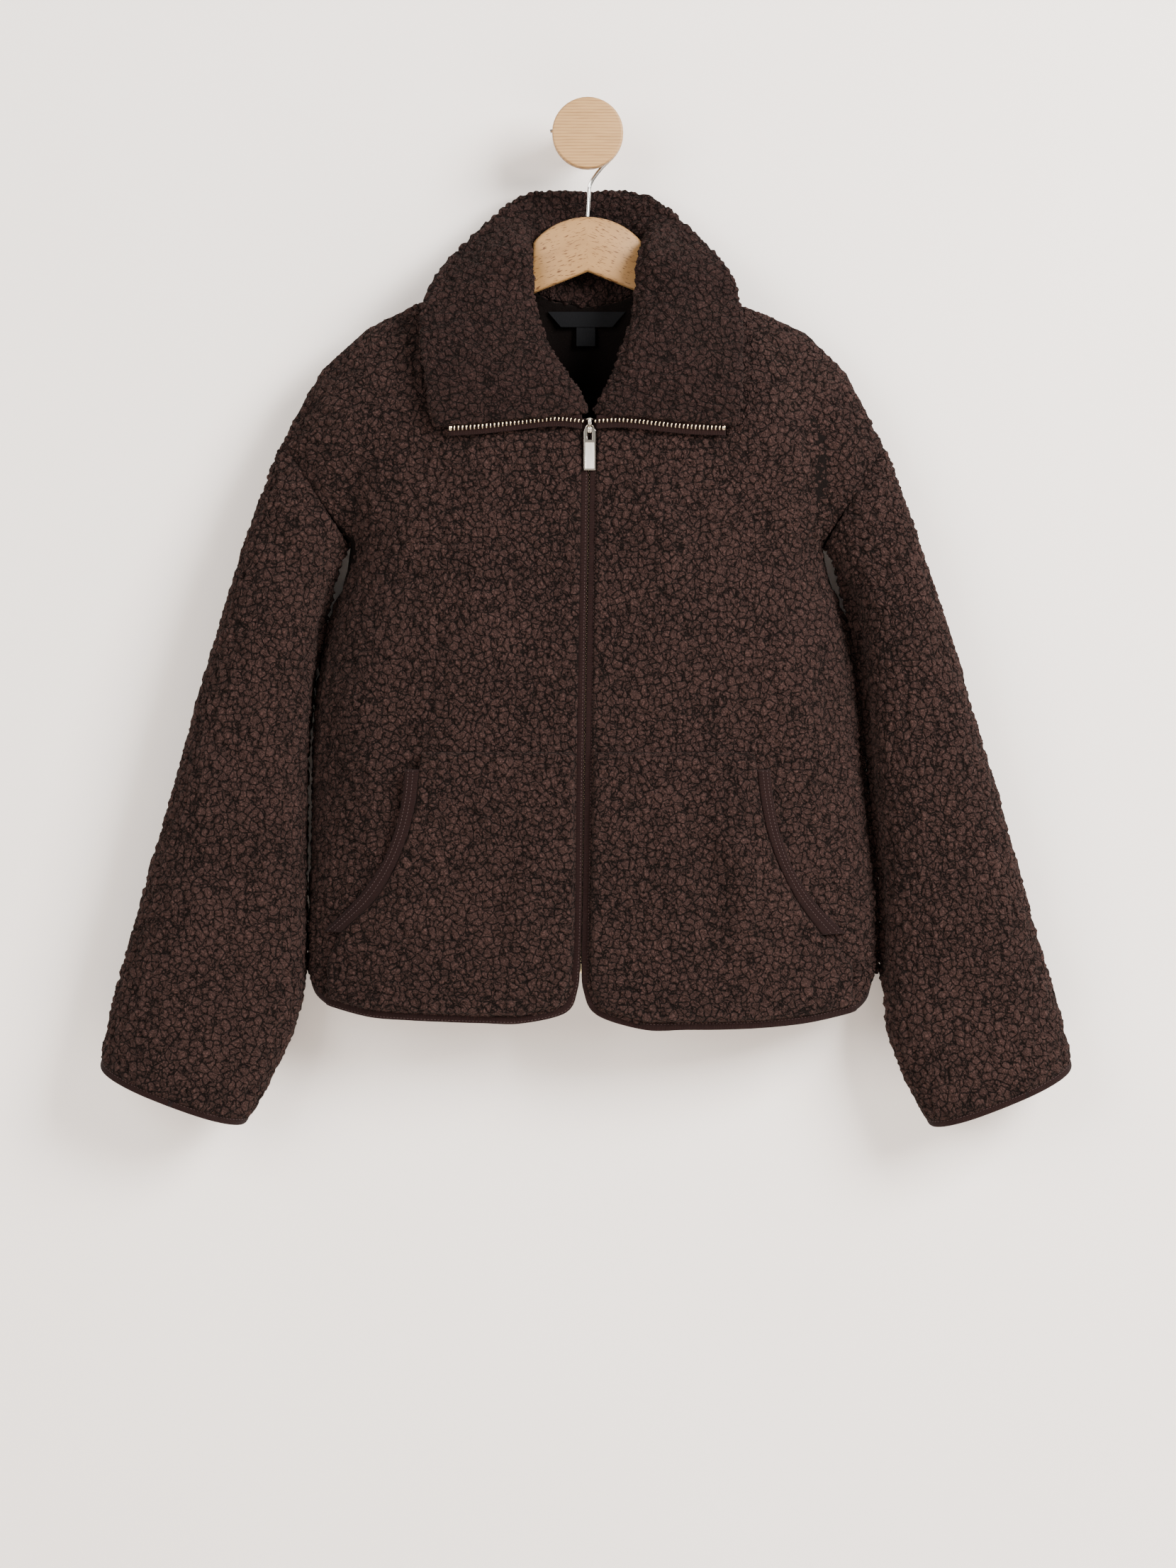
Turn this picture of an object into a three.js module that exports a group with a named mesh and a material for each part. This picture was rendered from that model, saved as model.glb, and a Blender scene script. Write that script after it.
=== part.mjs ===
// A boxy sherpa fleece jacket, unzipped at the collar, hanging on a wooden hanger
// whose wire hook lies over a round wooden wall knob.
// Millimetres. X runs to the viewer's right, Y from the viewer back to the wall, Z up.
// The origin is the centre of the knob's foot, on the wall. "left" is the viewer's left.

import * as THREE from 'three';

// Cloth and seams
const WALL = 5;                 // single fleece with its pile
const COLLAR_WALL = 8.5;        // double fleece
const SEAM = 0.3;               // gap between two pieces that are sewn together
const BINDING_BACK = 0.7;       // how far a binding is drawn back from the cloth it edges
const KNIT_SUNK = 1.2;          // how far the knit binding lies below the pile
const POCKET_WALL = 4.7;
const POCKET_BINDING_PROUD = 5.6;

// Depths, all measured from the plane of the side seams, the shoulder ridge and the hanger
const SIDE_Y = -47;
const FRONT_RIDGE_FALL = 110;   // height over which the front rounds over from the ridge
const BACK_RIDGE_FALL = 60;
const FRONT_SQUARENESS = 3;     // exponent of the front's rounding towards the side seams
const BACK_SQUARENESS = 4;

// Heights
const UNDERARM_Z = -384;
const NECK_POINT_X = 62;
const NECK_POINT_Z = -130;
const SIDE_HEM_Z = -787;
const HEM_BINDING = 8;
const ARMHOLE_STEPS = 10;       // steps from the underarm up to the shoulder tip
const NECK_COLUMNS = 8;

// Zip
const ZIP_TOP = { x: 2, z: -266 };
const ZIP_BOTTOM_Z = -765;
const ZIP_LEAN = -8 / 499;      // the closed zip hangs a little to the viewer's left
const ZIP_HALF_GAP = 0.4;
const CHAIN_HALF_WIDTH = 3;
const CHAIN_THICKNESS = 2;

const SIDES = ['left', 'right'];
const SIGN = { left: -1, right: 1 };

const COLOURS = {
  fleece: 0x4a3b36, knit: 0x3a2a26, gold: 0xd8c9a4, silver: 0xc9c6bd,
  label: 0x0d1014, beech: 0xd4b698, wire: 0xb9b7b2,
};

const jacket = new THREE.Group();

// Tables with named columns, read smoothly between their rows

function table(columns, rows) {
  return rows.map((row) => Object.fromEntries(columns.map((name, i) => [name, row[i]])));
}

function slopeAt(rows, key, column, i) {
  if (i === 0 || i === rows.length - 1) {
    const j = i === 0 ? 1 : i;
    return (rows[j][column] - rows[j - 1][column]) / (rows[j][key] - rows[j - 1][key]);
  }
  const before = (rows[i][column] - rows[i - 1][column]) / (rows[i][key] - rows[i - 1][key]);
  const after = (rows[i + 1][column] - rows[i][column]) / (rows[i + 1][key] - rows[i][key]);
  return before * after <= 0 ? 0 : (2 * before * after) / (before + after);
}

function read(rows, key, value, column) {
  const last = rows.length - 1;
  const rising = rows[last][key] > rows[0][key] ? 1 : -1;
  if ((value - rows[0][key]) * rising <= 0) return rows[0][column];
  if ((value - rows[last][key]) * rising >= 0) return rows[last][column];
  let i = 0;
  while ((value - rows[i + 1][key]) * rising > 0) i += 1;
  const span = rows[i + 1][key] - rows[i][key];
  const t = (value - rows[i][key]) / span;
  const a = rows[i][column];
  const b = rows[i + 1][column];
  const ma = slopeAt(rows, key, column, i) * span;
  const mb = slopeAt(rows, key, column, i + 1) * span;
  const t2 = t * t;
  const t3 = t2 * t;
  return a * (2 * t3 - 3 * t2 + 1) + ma * (t3 - 2 * t2 + t) + b * (3 * t2 - 2 * t3) + mb * (t3 - t2);
}

// The garment's outline. Distances across are from the middle, so both sides are positive.

// Side seam up to the underarm, and above it the width that the chest rounds towards
const BODY_SIDE = table(['z', 'left', 'right'], [
  [-830, 259, 266], [-787, 259, 266], [-717, 258, 267], [-671, 257, 263], [-615, 256, 257],
  [-564, 255, 252], [-520, 252, 250], [-482, 246, 243], [-450, 236, 234], [-415, 226, 224],
  [UNDERARM_Z, 221, 219], [-370, 238, 234], [-350, 258, 252], [-325, 278, 270],
  [-300, 292, 284], [-284, 297, 289], [-130, 300, 294],
]);

// Ridge of the shoulder, from the neck out to the shoulder tip
const RIDGE = table(['out', 'left', 'right'], [
  [62, -130, -131], [110, -142, -146], [150, -153, -161], [178, -166, -171], [204, -179, -184],
  [223, -189, -198], [238, -204, -217], [252, -227, -244], [265, -250, -271], [275, -268, -289],
  [283, -284, -303],
]);
const SHOULDER_TIP = { left: 283, right: 275 };

// How far the front and the back stand off the side seam's plane
const FRONT_DEPTH = table(['z', 'depth'], [
  [-830, 57], [-780, 60], [-650, 66], [-500, 65], [-350, 61], [-266, 55], [-200, 43], [-130, 33],
]);
const BACK_DEPTH = table(['z', 'depth'], [
  [-790, 37], [-600, 39], [-400, 40], [-200, 38], [-130, 33],
]);

// Fold lines pressed into the front: from one end to the other, with the depth at each
// end (minus is a ridge) and the width
const FRONT_FOLDS = table(['x0', 'z0', 'x1', 'z1', 'deep0', 'deep1', 'wide'], [
  [205, -216, 226, -402, 1, 15, 17],
  [-207, -302, -224, -400, 1, 13, 15],
  [129, -610, 152, -758, -5, -7, 22],
  [104, -619, 130, -751, 4, 4, 18],
  [179, -434, 198, -570, -6, -7, 26],
  [53, -335, 70, -420, -5, -4, 22],
  [-39, -685, -65, -758, -4, -5, 20],
  [-150, -300, -95, -430, 4, 2, 30],
  [-120, -480, -175, -640, -3, -4, 30],
]);
const BACK_FOLDS = table(['x0', 'z0', 'x1', 'z1', 'deep0', 'deep1', 'wide'], [
  [-190, -300, -150, -520, -5, -3, 26],
  [185, -290, 165, -540, -5, -3, 26],
  [-90, -560, -110, -760, -4, -5, 28],
  [70, -540, 105, -750, -4, -5, 28],
]);

function foldOffset(folds, x, z) {
  let sum = 0;
  for (const fold of folds) {
    const dx = fold.x1 - fold.x0;
    const dz = fold.z1 - fold.z0;
    const along = ((x - fold.x0) * dx + (z - fold.z0) * dz) / (dx * dx + dz * dz);
    const t = Math.min(1, Math.max(0, along));
    const off = Math.hypot(x - fold.x0 - dx * t, z - fold.z0 - dz * t) / fold.wide;
    sum += (fold.deep0 + (fold.deep1 - fold.deep0) * t) * Math.exp(-off * off);
  }
  return sum;
}

const sideOf = (x) => (x < 0 ? 'left' : 'right');

function ridgeZ(side, out) {
  return read(RIDGE, 'out', out, side);
}

function bulge(x, z, squareness, fall) {
  const side = sideOf(x);
  const out = Math.abs(x);
  const across = Math.min(1, out / read(BODY_SIDE, 'z', z, side));
  const below = Math.min(1, Math.max(0, (ridgeZ(side, out) - z) / fall));
  return Math.sqrt(1 - across ** squareness) * Math.sqrt(1 - (1 - below) ** 2);
}

// The outer face of the front and of the back, as a depth at each place in the outline
function frontY(x, z) {
  const rise = bulge(x, z, FRONT_SQUARENESS, FRONT_RIDGE_FALL);
  return SIDE_Y - read(FRONT_DEPTH, 'z', z, 'depth') * rise + foldOffset(FRONT_FOLDS, x, z) * rise;
}

function backY(x, z) {
  const rise = bulge(x, z, BACK_SQUARENESS, BACK_RIDGE_FALL);
  return SIDE_Y + read(BACK_DEPTH, 'z', z, 'depth') * rise + foldOffset(BACK_FOLDS, x, z) * rise;
}

// Points, walls and solids

const vec = (x, y, z) => new THREE.Vector3(x, y, z);
const mix = (a, b, t) => a + (b - a) * t;
const moved = (p, direction, distance) => p.clone().addScaledVector(direction, distance);

function gridNormals(points, closed, towards) {
  const rows = points.length;
  const columns = points[0].length;
  return points.map((row, i) => row.map((p, j) => {
    const left = closed ? (j + columns - 1) % columns : Math.max(0, j - 1);
    const right = closed ? (j + 1) % columns : Math.min(columns - 1, j + 1);
    const across = row[right].clone().sub(row[left]);
    const up = points[Math.min(rows - 1, i + 1)][j].clone().sub(points[Math.max(0, i - 1)][j]);
    return across.cross(up).normalize().multiplyScalar(towards);
  }));
}

// Every edge of a wall is drawn back a little, both faces together
function drawBack(outer, inner, closed, distance) {
  const rows = outer.length;
  const columns = outer[0].length;
  for (const face of [outer, inner]) {
    const copy = face.map((row) => row.map((p) => p.clone()));
    const pull = (i, j, fromI, fromJ) => {
      const way = copy[fromI][fromJ].clone().sub(copy[i][j]).normalize();
      face[i][j].addScaledVector(way, distance);
    };
    for (let j = 0; j < columns; j += 1) {
      pull(0, j, 1, j);
      pull(rows - 1, j, rows - 2, j);
    }
    if (!closed) {
      for (let i = 0; i < rows; i += 1) {
        pull(i, 0, i, 1);
        pull(i, columns - 1, i, columns - 2);
      }
    }
  }
}

function solidFrom(positions, triangles) {
  const geometry = new THREE.BufferGeometry();
  let volume = 0;
  const at = (i) => positions[i];
  for (const [a, b, c] of triangles) volume += at(a).dot(at(b).clone().cross(at(c)));
  const turned = volume < 0 ? triangles.map(([a, b, c]) => [a, c, b]) : triangles;
  geometry.setAttribute('position', new THREE.Float32BufferAttribute(
    positions.flatMap((p) => [p.x, p.y, p.z]), 3));
  geometry.setIndex(turned.flat());
  geometry.computeVertexNormals();
  return geometry;
}

// A closed wall between an outer and an inner grid of points, open or closed into a tube
function wallSolid(outerGrid, innerGrid, closed, back = SEAM / 2) {
  const outer = outerGrid.map((row) => row.map((p) => p.clone()));
  const inner = innerGrid.map((row) => row.map((p) => p.clone()));
  drawBack(outer, inner, closed, back);
  const rows = outer.length;
  const columns = outer[0].length;
  const spans = closed ? columns : columns - 1;
  const positions = [...outer.flat(), ...inner.flat()];
  const out = (i, j) => i * columns + (j % columns);
  const inn = (i, j) => rows * columns + out(i, j);
  const triangles = [];
  const quad = (a, b, c, d) => triangles.push([a, b, c], [a, c, d]);
  for (let i = 0; i < rows - 1; i += 1) {
    for (let j = 0; j < spans; j += 1) {
      quad(out(i, j), out(i, j + 1), out(i + 1, j + 1), out(i + 1, j));
      quad(inn(i, j), inn(i + 1, j), inn(i + 1, j + 1), inn(i, j + 1));
    }
  }
  for (let j = 0; j < spans; j += 1) {
    quad(out(0, j), inn(0, j), inn(0, j + 1), out(0, j + 1));
    quad(out(rows - 1, j + 1), inn(rows - 1, j + 1), inn(rows - 1, j), out(rows - 1, j));
  }
  if (!closed) {
    const end = columns - 1;
    for (let i = 0; i < rows - 1; i += 1) {
      quad(out(i, 0), out(i + 1, 0), inn(i + 1, 0), inn(i, 0));
      quad(out(i, end), inn(i, end), inn(i + 1, end), out(i + 1, end));
    }
  }
  return solidFrom(positions, triangles);
}

function add(name, geometry, colour, roughness, metalness) {
  const material = new THREE.MeshStandardMaterial({ color: colour, roughness, metalness });
  const mesh = new THREE.Mesh(geometry, material);
  mesh.name = name;
  jacket.add(mesh);
  return mesh;
}

const addFleece = (name, geometry) => add(name, geometry, COLOURS.fleece, 0.95, 0);
const addKnit = (name, geometry) => add(name, geometry, COLOURS.knit, 0.9, 0);
const addGold = (name, geometry) => add(name, geometry, COLOURS.gold, 0.3, 1);

// The front edge, from the foot of the open neck down the zip, round the corner and
// along the hem to the side seam. The corner point is where the two stretches meet.
// Past the corner the binding turns from square to the edge to straight up.
const zipX = (z) => ZIP_TOP.x + (ZIP_TOP.z - z) * ZIP_LEAN;

const FRONT_EDGE = {
  left: [
    [zipX(-266) - ZIP_HALF_GAP, -266], [zipX(-420) - ZIP_HALF_GAP, -420],
    [zipX(-600) - ZIP_HALF_GAP, -600], [zipX(-765) - ZIP_HALF_GAP, -765],
    [-8.3, -781], [-10.5, -799], [-20, -814], [-38, -821.5], [-60, -824], [-110, -823.5],
    [-151, -822], [-191, -820], [-217, -816.5], [-233, -812], [-247, -805], [-256, -796],
    [-259, SIDE_HEM_Z],
  ],
  right: [
    [zipX(-266) + ZIP_HALF_GAP, -266], [zipX(-420) + ZIP_HALF_GAP, -420],
    [zipX(-600) + ZIP_HALF_GAP, -600], [zipX(-765) + ZIP_HALF_GAP, -765],
    [-5.6, -779], [-2.5, -799], [8, -816], [24, -825.5], [47, -829.5], [90, -830],
    [139, -829.5], [180, -827], [215, -822.5], [238, -818], [253, -811], [262, -801],
    [266, SIDE_HEM_Z],
  ],
};
const CORNER_INDEX = 6;
const BEFORE_CORNER = 0.98;
const TURN_UP = { from: 40, over: 50 };

function edgePath(side) {
  const curve = new THREE.CatmullRomCurve3(
    FRONT_EDGE[side].map(([x, z]) => vec(x, 0, z)), false, 'centripetal');
  const last = FRONT_EDGE[side].length - 1;
  const corner = CORNER_INDEX / last;
  const solve = (coordinate, value, from, to) => {
    let low = from;
    let high = to;
    for (let step = 0; step < 40; step += 1) {
      const middle = (low + high) / 2;
      const before = curve.getPoint(low)[coordinate] - value;
      const here = curve.getPoint(middle)[coordinate] - value;
      if (before * here <= 0) high = middle;
      else low = middle;
    }
    return (low + high) / 2;
  };
  const station = (t) => {
    const edge = curve.getPoint(t);
    const along = curve.getTangent(t);
    const into = vec(-along.z * SIGN[side], 0, along.x * SIGN[side]);
    const clearOfCorner = Math.min(1, Math.max(0, (Math.abs(edge.x) - TURN_UP.from) / TURN_UP.over));
    if (edge.z < ZIP_BOTTOM_Z) into.lerp(vec(0, 0, 1), clearOfCorner).normalize();
    return { edge, inset: moved(edge, into, HEM_BINDING) };
  };
  return {
    corner: station(corner),
    beside: (z) => station(solve('z', z, 0, corner * BEFORE_CORNER)),
    below: (out) => station(solve('x', out * SIGN[side], corner, 1)),
    end: station(1),
  };
}

// Rows of the body, given by their heights at the centre front and at the side seam.
// Above the underarm the side heights run up the armhole instead.
const BODY_ROWS = table(['centre', 'side'], [
  [-807, -779], [-793, -771], [-768, -758], [-738, -735], [-708, -707], [-678, -678],
  [-648, -648], [-618, -618], [-590, -590], [-574, -574], [-535, -535], [-490, -490],
  [-440, -437], [-398, UNDERARM_Z],
]);
const UNDERARM_ROW = BODY_ROWS.length - 1;
const OPEN_NECK_ROW = UNDERARM_ROW + 4;
const POCKET_TOP_ROW = 9;
const POCKET_MOUTH = { from: 3, to: 8 };
const UPPER_CENTRE = [-358, -322, -291, -266, -244, -216, -186, -158, -138, NECK_POINT_Z];

// Edge of the neck opening, from the foot of the open zip up to the neck point
const NECKLINE = table(['z', 'left', 'right'], [
  [-266, 7, 10.5], [-252, 14, 22], [-240, 24, 29], [-220, 38, 38], [-200, 49, 46],
  [-172, 58, 55], [-150, 62, 60], [-138, 62.5, 61.5], [NECK_POINT_Z, NECK_POINT_X, NECK_POINT_X],
]);

// The two edges of the pocket mouth's binding, and the columns that follow them up and down
const POCKET_LINE = table(['z', 'leftInner', 'leftOuter', 'rightInner', 'rightOuter'], [
  [-825, 238, 244, 244, 251], [-758, 240, 247, 244, 252], [-735, 226, 242, 214, 236],
  [-708, 195, 213, 192, 207], [-678, 176, 190, 175, 187], [-648, 164, 177, 164, 176],
  [-618, 157, 170, 158, 170], [-590, 154, 167, 155, 167], [-574, 152, 165, 153, 165],
  [-490, 146, 160, 148, 162], [-384, 140, 155, 142, 157], [-130, 140, 158, 140, 158],
]);
const POCKET_COLUMNS = 6;
const SIDE_COLUMNS = 4;
const FRONT_COLUMNS = POCKET_COLUMNS + 1 + SIDE_COLUMNS;

// How the rows bend: over the lowest rows they follow the hem, and above the underarm they
// come round to the shoulder ridge
const FRONT_HEM_ROWS = 6;
const BACK_HEM_ROWS = 4;
const RIDGE_TURN = 1.5;
const hemPull = (row, rows) => Math.max(0, 1 - row / rows) ** 2;
const ridgePull = (row) => {
  const upper = Math.max(0, (row - UNDERARM_ROW) / ARMHOLE_STEPS);
  return 1 - (1 - upper) ** RIDGE_TURN;
};

const armholeFraction = (k) => (1 - Math.cos((Math.PI * k) / ARMHOLE_STEPS)) / 2;

function armholePoint(side, k) {
  const t = armholeFraction(k);
  const underarm = read(BODY_SIDE, 'z', UNDERARM_Z, side);
  const tip = SHOULDER_TIP[side];
  return { out: mix(underarm, tip, t), z: mix(UNDERARM_Z, ridgeZ(side, tip), t) };
}

function sidePoint(side, row) {
  if (row > UNDERARM_ROW) return armholePoint(side, row - UNDERARM_ROW);
  const z = BODY_ROWS[row].side;
  return { out: read(BODY_SIDE, 'z', z, side), z };
}

const ROW_COUNT = UNDERARM_ROW + ARMHOLE_STEPS + 1;
const lastRow = ROW_COUNT - 1;

// The seam directions point into the jacket, so that the pieces on both sides of a
// seam share both of its edges.
function sideDirection(side, row) {
  const sign = SIGN[side];
  const straight = vec(-sign, 0, 0);
  if (row < UNDERARM_ROW - 1) return straight;
  if (row === UNDERARM_ROW - 1) return vec(-sign * 0.9, 0, 0.43).normalize();
  return vec(-sign * 0.1, 0, 1).normalize();
}

function ridgeDirection(side, out) {
  const step = 2;
  const slope = (ridgeZ(side, out + step) - ridgeZ(side, out - step)) / (2 * step);
  return vec(SIGN[side] * slope, 0, -1).normalize();
}

function armholeDirection(side, k, y) {
  const t = armholeFraction(k);
  if (k === ARMHOLE_STEPS) return ridgeDirection(side, SHOULDER_TIP[side]);
  const low = armholePoint(side, 0);
  const high = armholePoint(side, ARMHOLE_STEPS);
  const core = Math.min(0.72, Math.max(0.28, t));
  const here = armholePoint(side, k);
  const target = vec(mix(low.out, high.out, core) * SIGN[side], SIDE_Y, mix(low.z, high.z, core));
  return target.sub(vec(here.out * SIGN[side], y, here.z)).normalize();
}

// Front panels

function frontOutline(side) {
  const path = edgePath(side);
  const sign = SIGN[side];
  const centre = [];
  for (let row = 0; row < ROW_COUNT; row += 1) {
    if (row === 0) centre.push(path.corner);
    else if (row <= OPEN_NECK_ROW) {
      const z = row <= UNDERARM_ROW ? BODY_ROWS[row].centre : UPPER_CENTRE[row - UNDERARM_ROW - 1];
      centre.push(path.beside(z));
    } else {
      const z = UPPER_CENTRE[row - UNDERARM_ROW - 1];
      centre.push({ inset: vec(read(NECKLINE, 'z', z, side) * sign, 0, z) });
    }
  }
  return { path, centre };
}

function columnShares(side, z, inner, outer) {
  const span = outer - inner;
  const mouthInner = (read(POCKET_LINE, 'z', z, `${side}Inner`) - inner) / span;
  const mouthOuter = (read(POCKET_LINE, 'z', z, `${side}Outer`) - inner) / span;
  const shares = [];
  for (let j = 0; j <= POCKET_COLUMNS; j += 1) shares.push((mouthInner * j) / POCKET_COLUMNS);
  for (let j = 0; j <= SIDE_COLUMNS; j += 1) {
    shares.push(mix(mouthOuter, 1, Math.sin((Math.PI * j) / (2 * SIDE_COLUMNS))));
  }
  return shares;
}

function frontGrid(side) {
  const sign = SIGN[side];
  const { path, centre } = frontOutline(side);
  const hemInner = centre[0].inset.x * sign;
  const hemOuter = sidePoint(side, 0).out;
  const hemShares = columnShares(side, -825, hemInner, hemOuter);
  const hem = hemShares.map((share, j) => {
    if (j === 0) return centre[0];
    if (j === FRONT_COLUMNS) {
      return { edge: path.end.edge, inset: vec(hemOuter * sign, 0, BODY_ROWS[0].side) };
    }
    return path.below(mix(hemInner, hemOuter, share));
  });
  const ridgeShares = columnShares(side, NECK_POINT_Z, NECK_POINT_X, SHOULDER_TIP[side]);
  const ridge = ridgeShares.map((share) => {
    const out = mix(NECK_POINT_X, SHOULDER_TIP[side], share);
    return vec(out * sign, 0, ridgeZ(side, out));
  });
  const points = [];
  for (let row = 0; row < ROW_COUNT; row += 1) {
    const start = centre[row].inset;
    const stop = sidePoint(side, row);
    const z = Math.min(mix(start.z, stop.z, 0.75), NECK_POINT_Z);
    const shares = row === 0 ? hemShares
      : row === lastRow ? ridgeShares : columnShares(side, z, start.x * sign, stop.out);
    points.push(shares.map((share, j) => {
      let x = mix(start.x, stop.out * sign, share);
      let height = mix(start.z, stop.z, share);
      const hemLine = mix(hem[0].inset.z, hem[FRONT_COLUMNS].inset.z, hemShares[j]);
      height += (hem[j].inset.z - hemLine) * hemPull(row, FRONT_HEM_ROWS);
      const ridgeLine = mix(ridge[0].z, ridge[FRONT_COLUMNS].z, ridgeShares[j]);
      height += (ridge[j].z - ridgeLine) * ridgePull(row);
      if (row === 0) x = hem[j].inset.x;
      const atSide = j === FRONT_COLUMNS && row <= UNDERARM_ROW;
      const y = atSide || row === lastRow ? SIDE_Y : frontY(x, height);
      return vec(x, y, height);
    }));
  }
  return { points, path, centre, hem };
}

function innerGrid(points, normals, seamDirection) {
  return points.map((row, i) => row.map((p, j) => {
    const given = seamDirection(i, j, p);
    return given ? moved(p, given, WALL) : moved(p, normals[i][j], -WALL);
  }));
}

function bodySeam(side, i, out, y) {
  if (i === lastRow) return ridgeDirection(side, out);
  if (i > UNDERARM_ROW) return armholeDirection(side, i - UNDERARM_ROW, y);
  return sideDirection(side, i);
}

const fronts = {};
for (const side of SIDES) {
  const grid = frontGrid(side);
  const normals = gridNormals(grid.points, false, SIGN[side]);
  const inner = innerGrid(grid.points, normals, (i, j, p) => {
    if (i === lastRow || j === FRONT_COLUMNS) return bodySeam(side, i, Math.abs(p.x), p.y);
    return null;
  });
  fronts[side] = { ...grid, normals, inner };
  addFleece(`front_${side}`, wallSolid(grid.points, inner, false));
}

// Back panel, from side seam to side seam

const BACK_HEM = table(['out', 'z'], [[0, -771], [130, -772.5], [220, -776], [259, -779]]);
const BACK_NECK = table(['out', 'z'], [[0, -156], [22, -153], [44, -145], [NECK_POINT_X, NECK_POINT_Z]]);

// Half the width of the back's middle columns at the hem
const BACK_MIDDLE = 130;

function backColumns(row, left, right) {
  const along = [];
  for (const side of SIDES) {
    const outer = side === 'left' ? left : right;
    const neck = mix(BACK_MIDDLE, NECK_POINT_X, row / lastRow);
    const level = mix(BODY_ROWS[0].side, NECK_POINT_Z, row / lastRow);
    const shares = columnShares(side, level, neck, outer);
    const xs = shares.map((share) => mix(neck, outer, share) * SIGN[side]);
    along.push(side === 'left' ? xs.reverse() : xs);
  }
  const [leftPart, rightPart] = along;
  const from = leftPart[leftPart.length - 1];
  const to = rightPart[0];
  const middle = [];
  for (let j = 1; j < NECK_COLUMNS; j += 1) middle.push(mix(from, to, j / NECK_COLUMNS));
  return [...leftPart, ...middle, ...rightPart];
}

function backGrid() {
  const points = [];
  for (let row = 0; row < ROW_COUNT; row += 1) {
    const left = sidePoint('left', row);
    const right = sidePoint('right', row);
    const xs = backColumns(row, left.out, right.out);
    points.push(xs.map((x, j) => {
      const side = sideOf(x);
      const edge = side === 'left' ? left : right;
      const out = Math.abs(x);
      const atSide = j === 0 || j === xs.length - 1;
      const share = out / edge.out;
      const level = mix(mix(left.z, right.z, 0.5), edge.z, share);
      const top = out < NECK_POINT_X ? read(BACK_NECK, 'out', out, 'z') : ridgeZ(side, out);
      let z = mix(level, top, ridgePull(row));
      z += (read(BACK_HEM, 'out', out, 'z') - BODY_ROWS[0].side) * hemPull(row, BACK_HEM_ROWS);
      if (atSide) z = edge.z;
      const y = (atSide && row <= UNDERARM_ROW) || (row === lastRow && out >= NECK_POINT_X)
        ? SIDE_Y : backY(x, z);
      return vec(x, y, z);
    }));
  }
  return points;
}

const backPoints = backGrid();
const backLast = backPoints[0].length - 1;
const backNormals = gridNormals(backPoints, false, -1);
const backInner = innerGrid(backPoints, backNormals, (i, j, p) => {
  const side = sideOf(p.x);
  const onRidge = i === lastRow && Math.abs(p.x) >= NECK_POINT_X - 0.01;
  if (j === 0 || j === backLast || onRidge) return bodySeam(side, i, Math.abs(p.x), p.y);
  return null;
});
addFleece('back', wallSolid(backPoints, backInner, false));

// Sleeves: a tube of rings from the armhole down to the cuff. Each row gives the ring's
// outer and inner end in the outline, half its depth, the depth of its middle, how far its
// front hangs below its back, and how far it has left the armhole's own shape.
const SLEEVE_COLUMNS = ['outerX', 'outerZ', 'innerX', 'innerZ', 'half', 'middle', 'droop', 'free'];
const SLEEVE_ROWS = {
  left: table(SLEEVE_COLUMNS, [
    [283, -284, 221, -384, 36, -49, 0, 0],
    [298, -316, 230, -393, 37, -50, 0, 0.45],
    [308, -345, 240, -408, 38, -51, 0, 0.8],
    [322, -390, 249, -438, 39, -52, 0, 1],
    [337, -443, 255, -482, 39, -53, 1, 1],
    [353, -500, 259, -532, 38, -54, 2, 1],
    [369, -556, 262, -585, 38, -54, 3, 1],
    [385, -612, 262.5, -638, 38, -54, 4, 1],
    [401, -665, 262.5, -692, 38, -54, 5, 1],
    [416, -718, 262.5, -745, 38, -54, 7, 1],
    [430, -766, 263, -795, 38, -54, 9, 1],
    [442, -806, 273, -836, 37, -54, 11, 1],
    [452, -856, 312, -908, 35, -54, 13, 1],
    [455, -864, 315, -916, 34, -54, 13, 1],
  ]),
  right: table(SLEEVE_COLUMNS, [
    [275, -289, 219, -384, 36, -49, 0, 0],
    [289, -320, 229, -391, 37, -50, 0, 0.45],
    [299, -349, 241, -405, 38, -51, 0, 0.8],
    [312, -392, 252, -436, 39, -52, 0, 1],
    [329, -445, 260, -480, 39, -53, 1, 1],
    [346, -500, 264, -530, 38, -54, 2, 1],
    [362, -556, 267, -582, 38, -54, 3, 1],
    [379, -612, 271, -634, 38, -54, 4, 1],
    [394, -665, 277, -688, 38, -54, 5, 1],
    [410, -718, 279, -742, 38, -54, 7, 1],
    [424, -768, 276, -798, 38, -54, 9, 1],
    [437, -808, 277, -840, 37, -54, 11, 1],
    [449, -856, 312, -910, 35, -54, 13, 1],
    [452, -864, 315, -918, 34, -54, 13, 1],
  ]),
};
const SLEEVE_SQUARENESS = 2.4;
const SLEEVE_FLEECE_ROWS = 13;

// Soft cross folds of the sleeves: the row where each lies, how far it climbs across the
// sleeve, its depth and its width in rows
const SLEEVE_FOLDS = table(['row', 'climb', 'deep', 'wide'], [
  [2.6, 1.2, 5, 0.6], [5.2, 1.6, 3, 0.8], [8.1, -1.4, 3, 0.8], [10.4, 1.0, 3, 0.6],
]);

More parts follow.
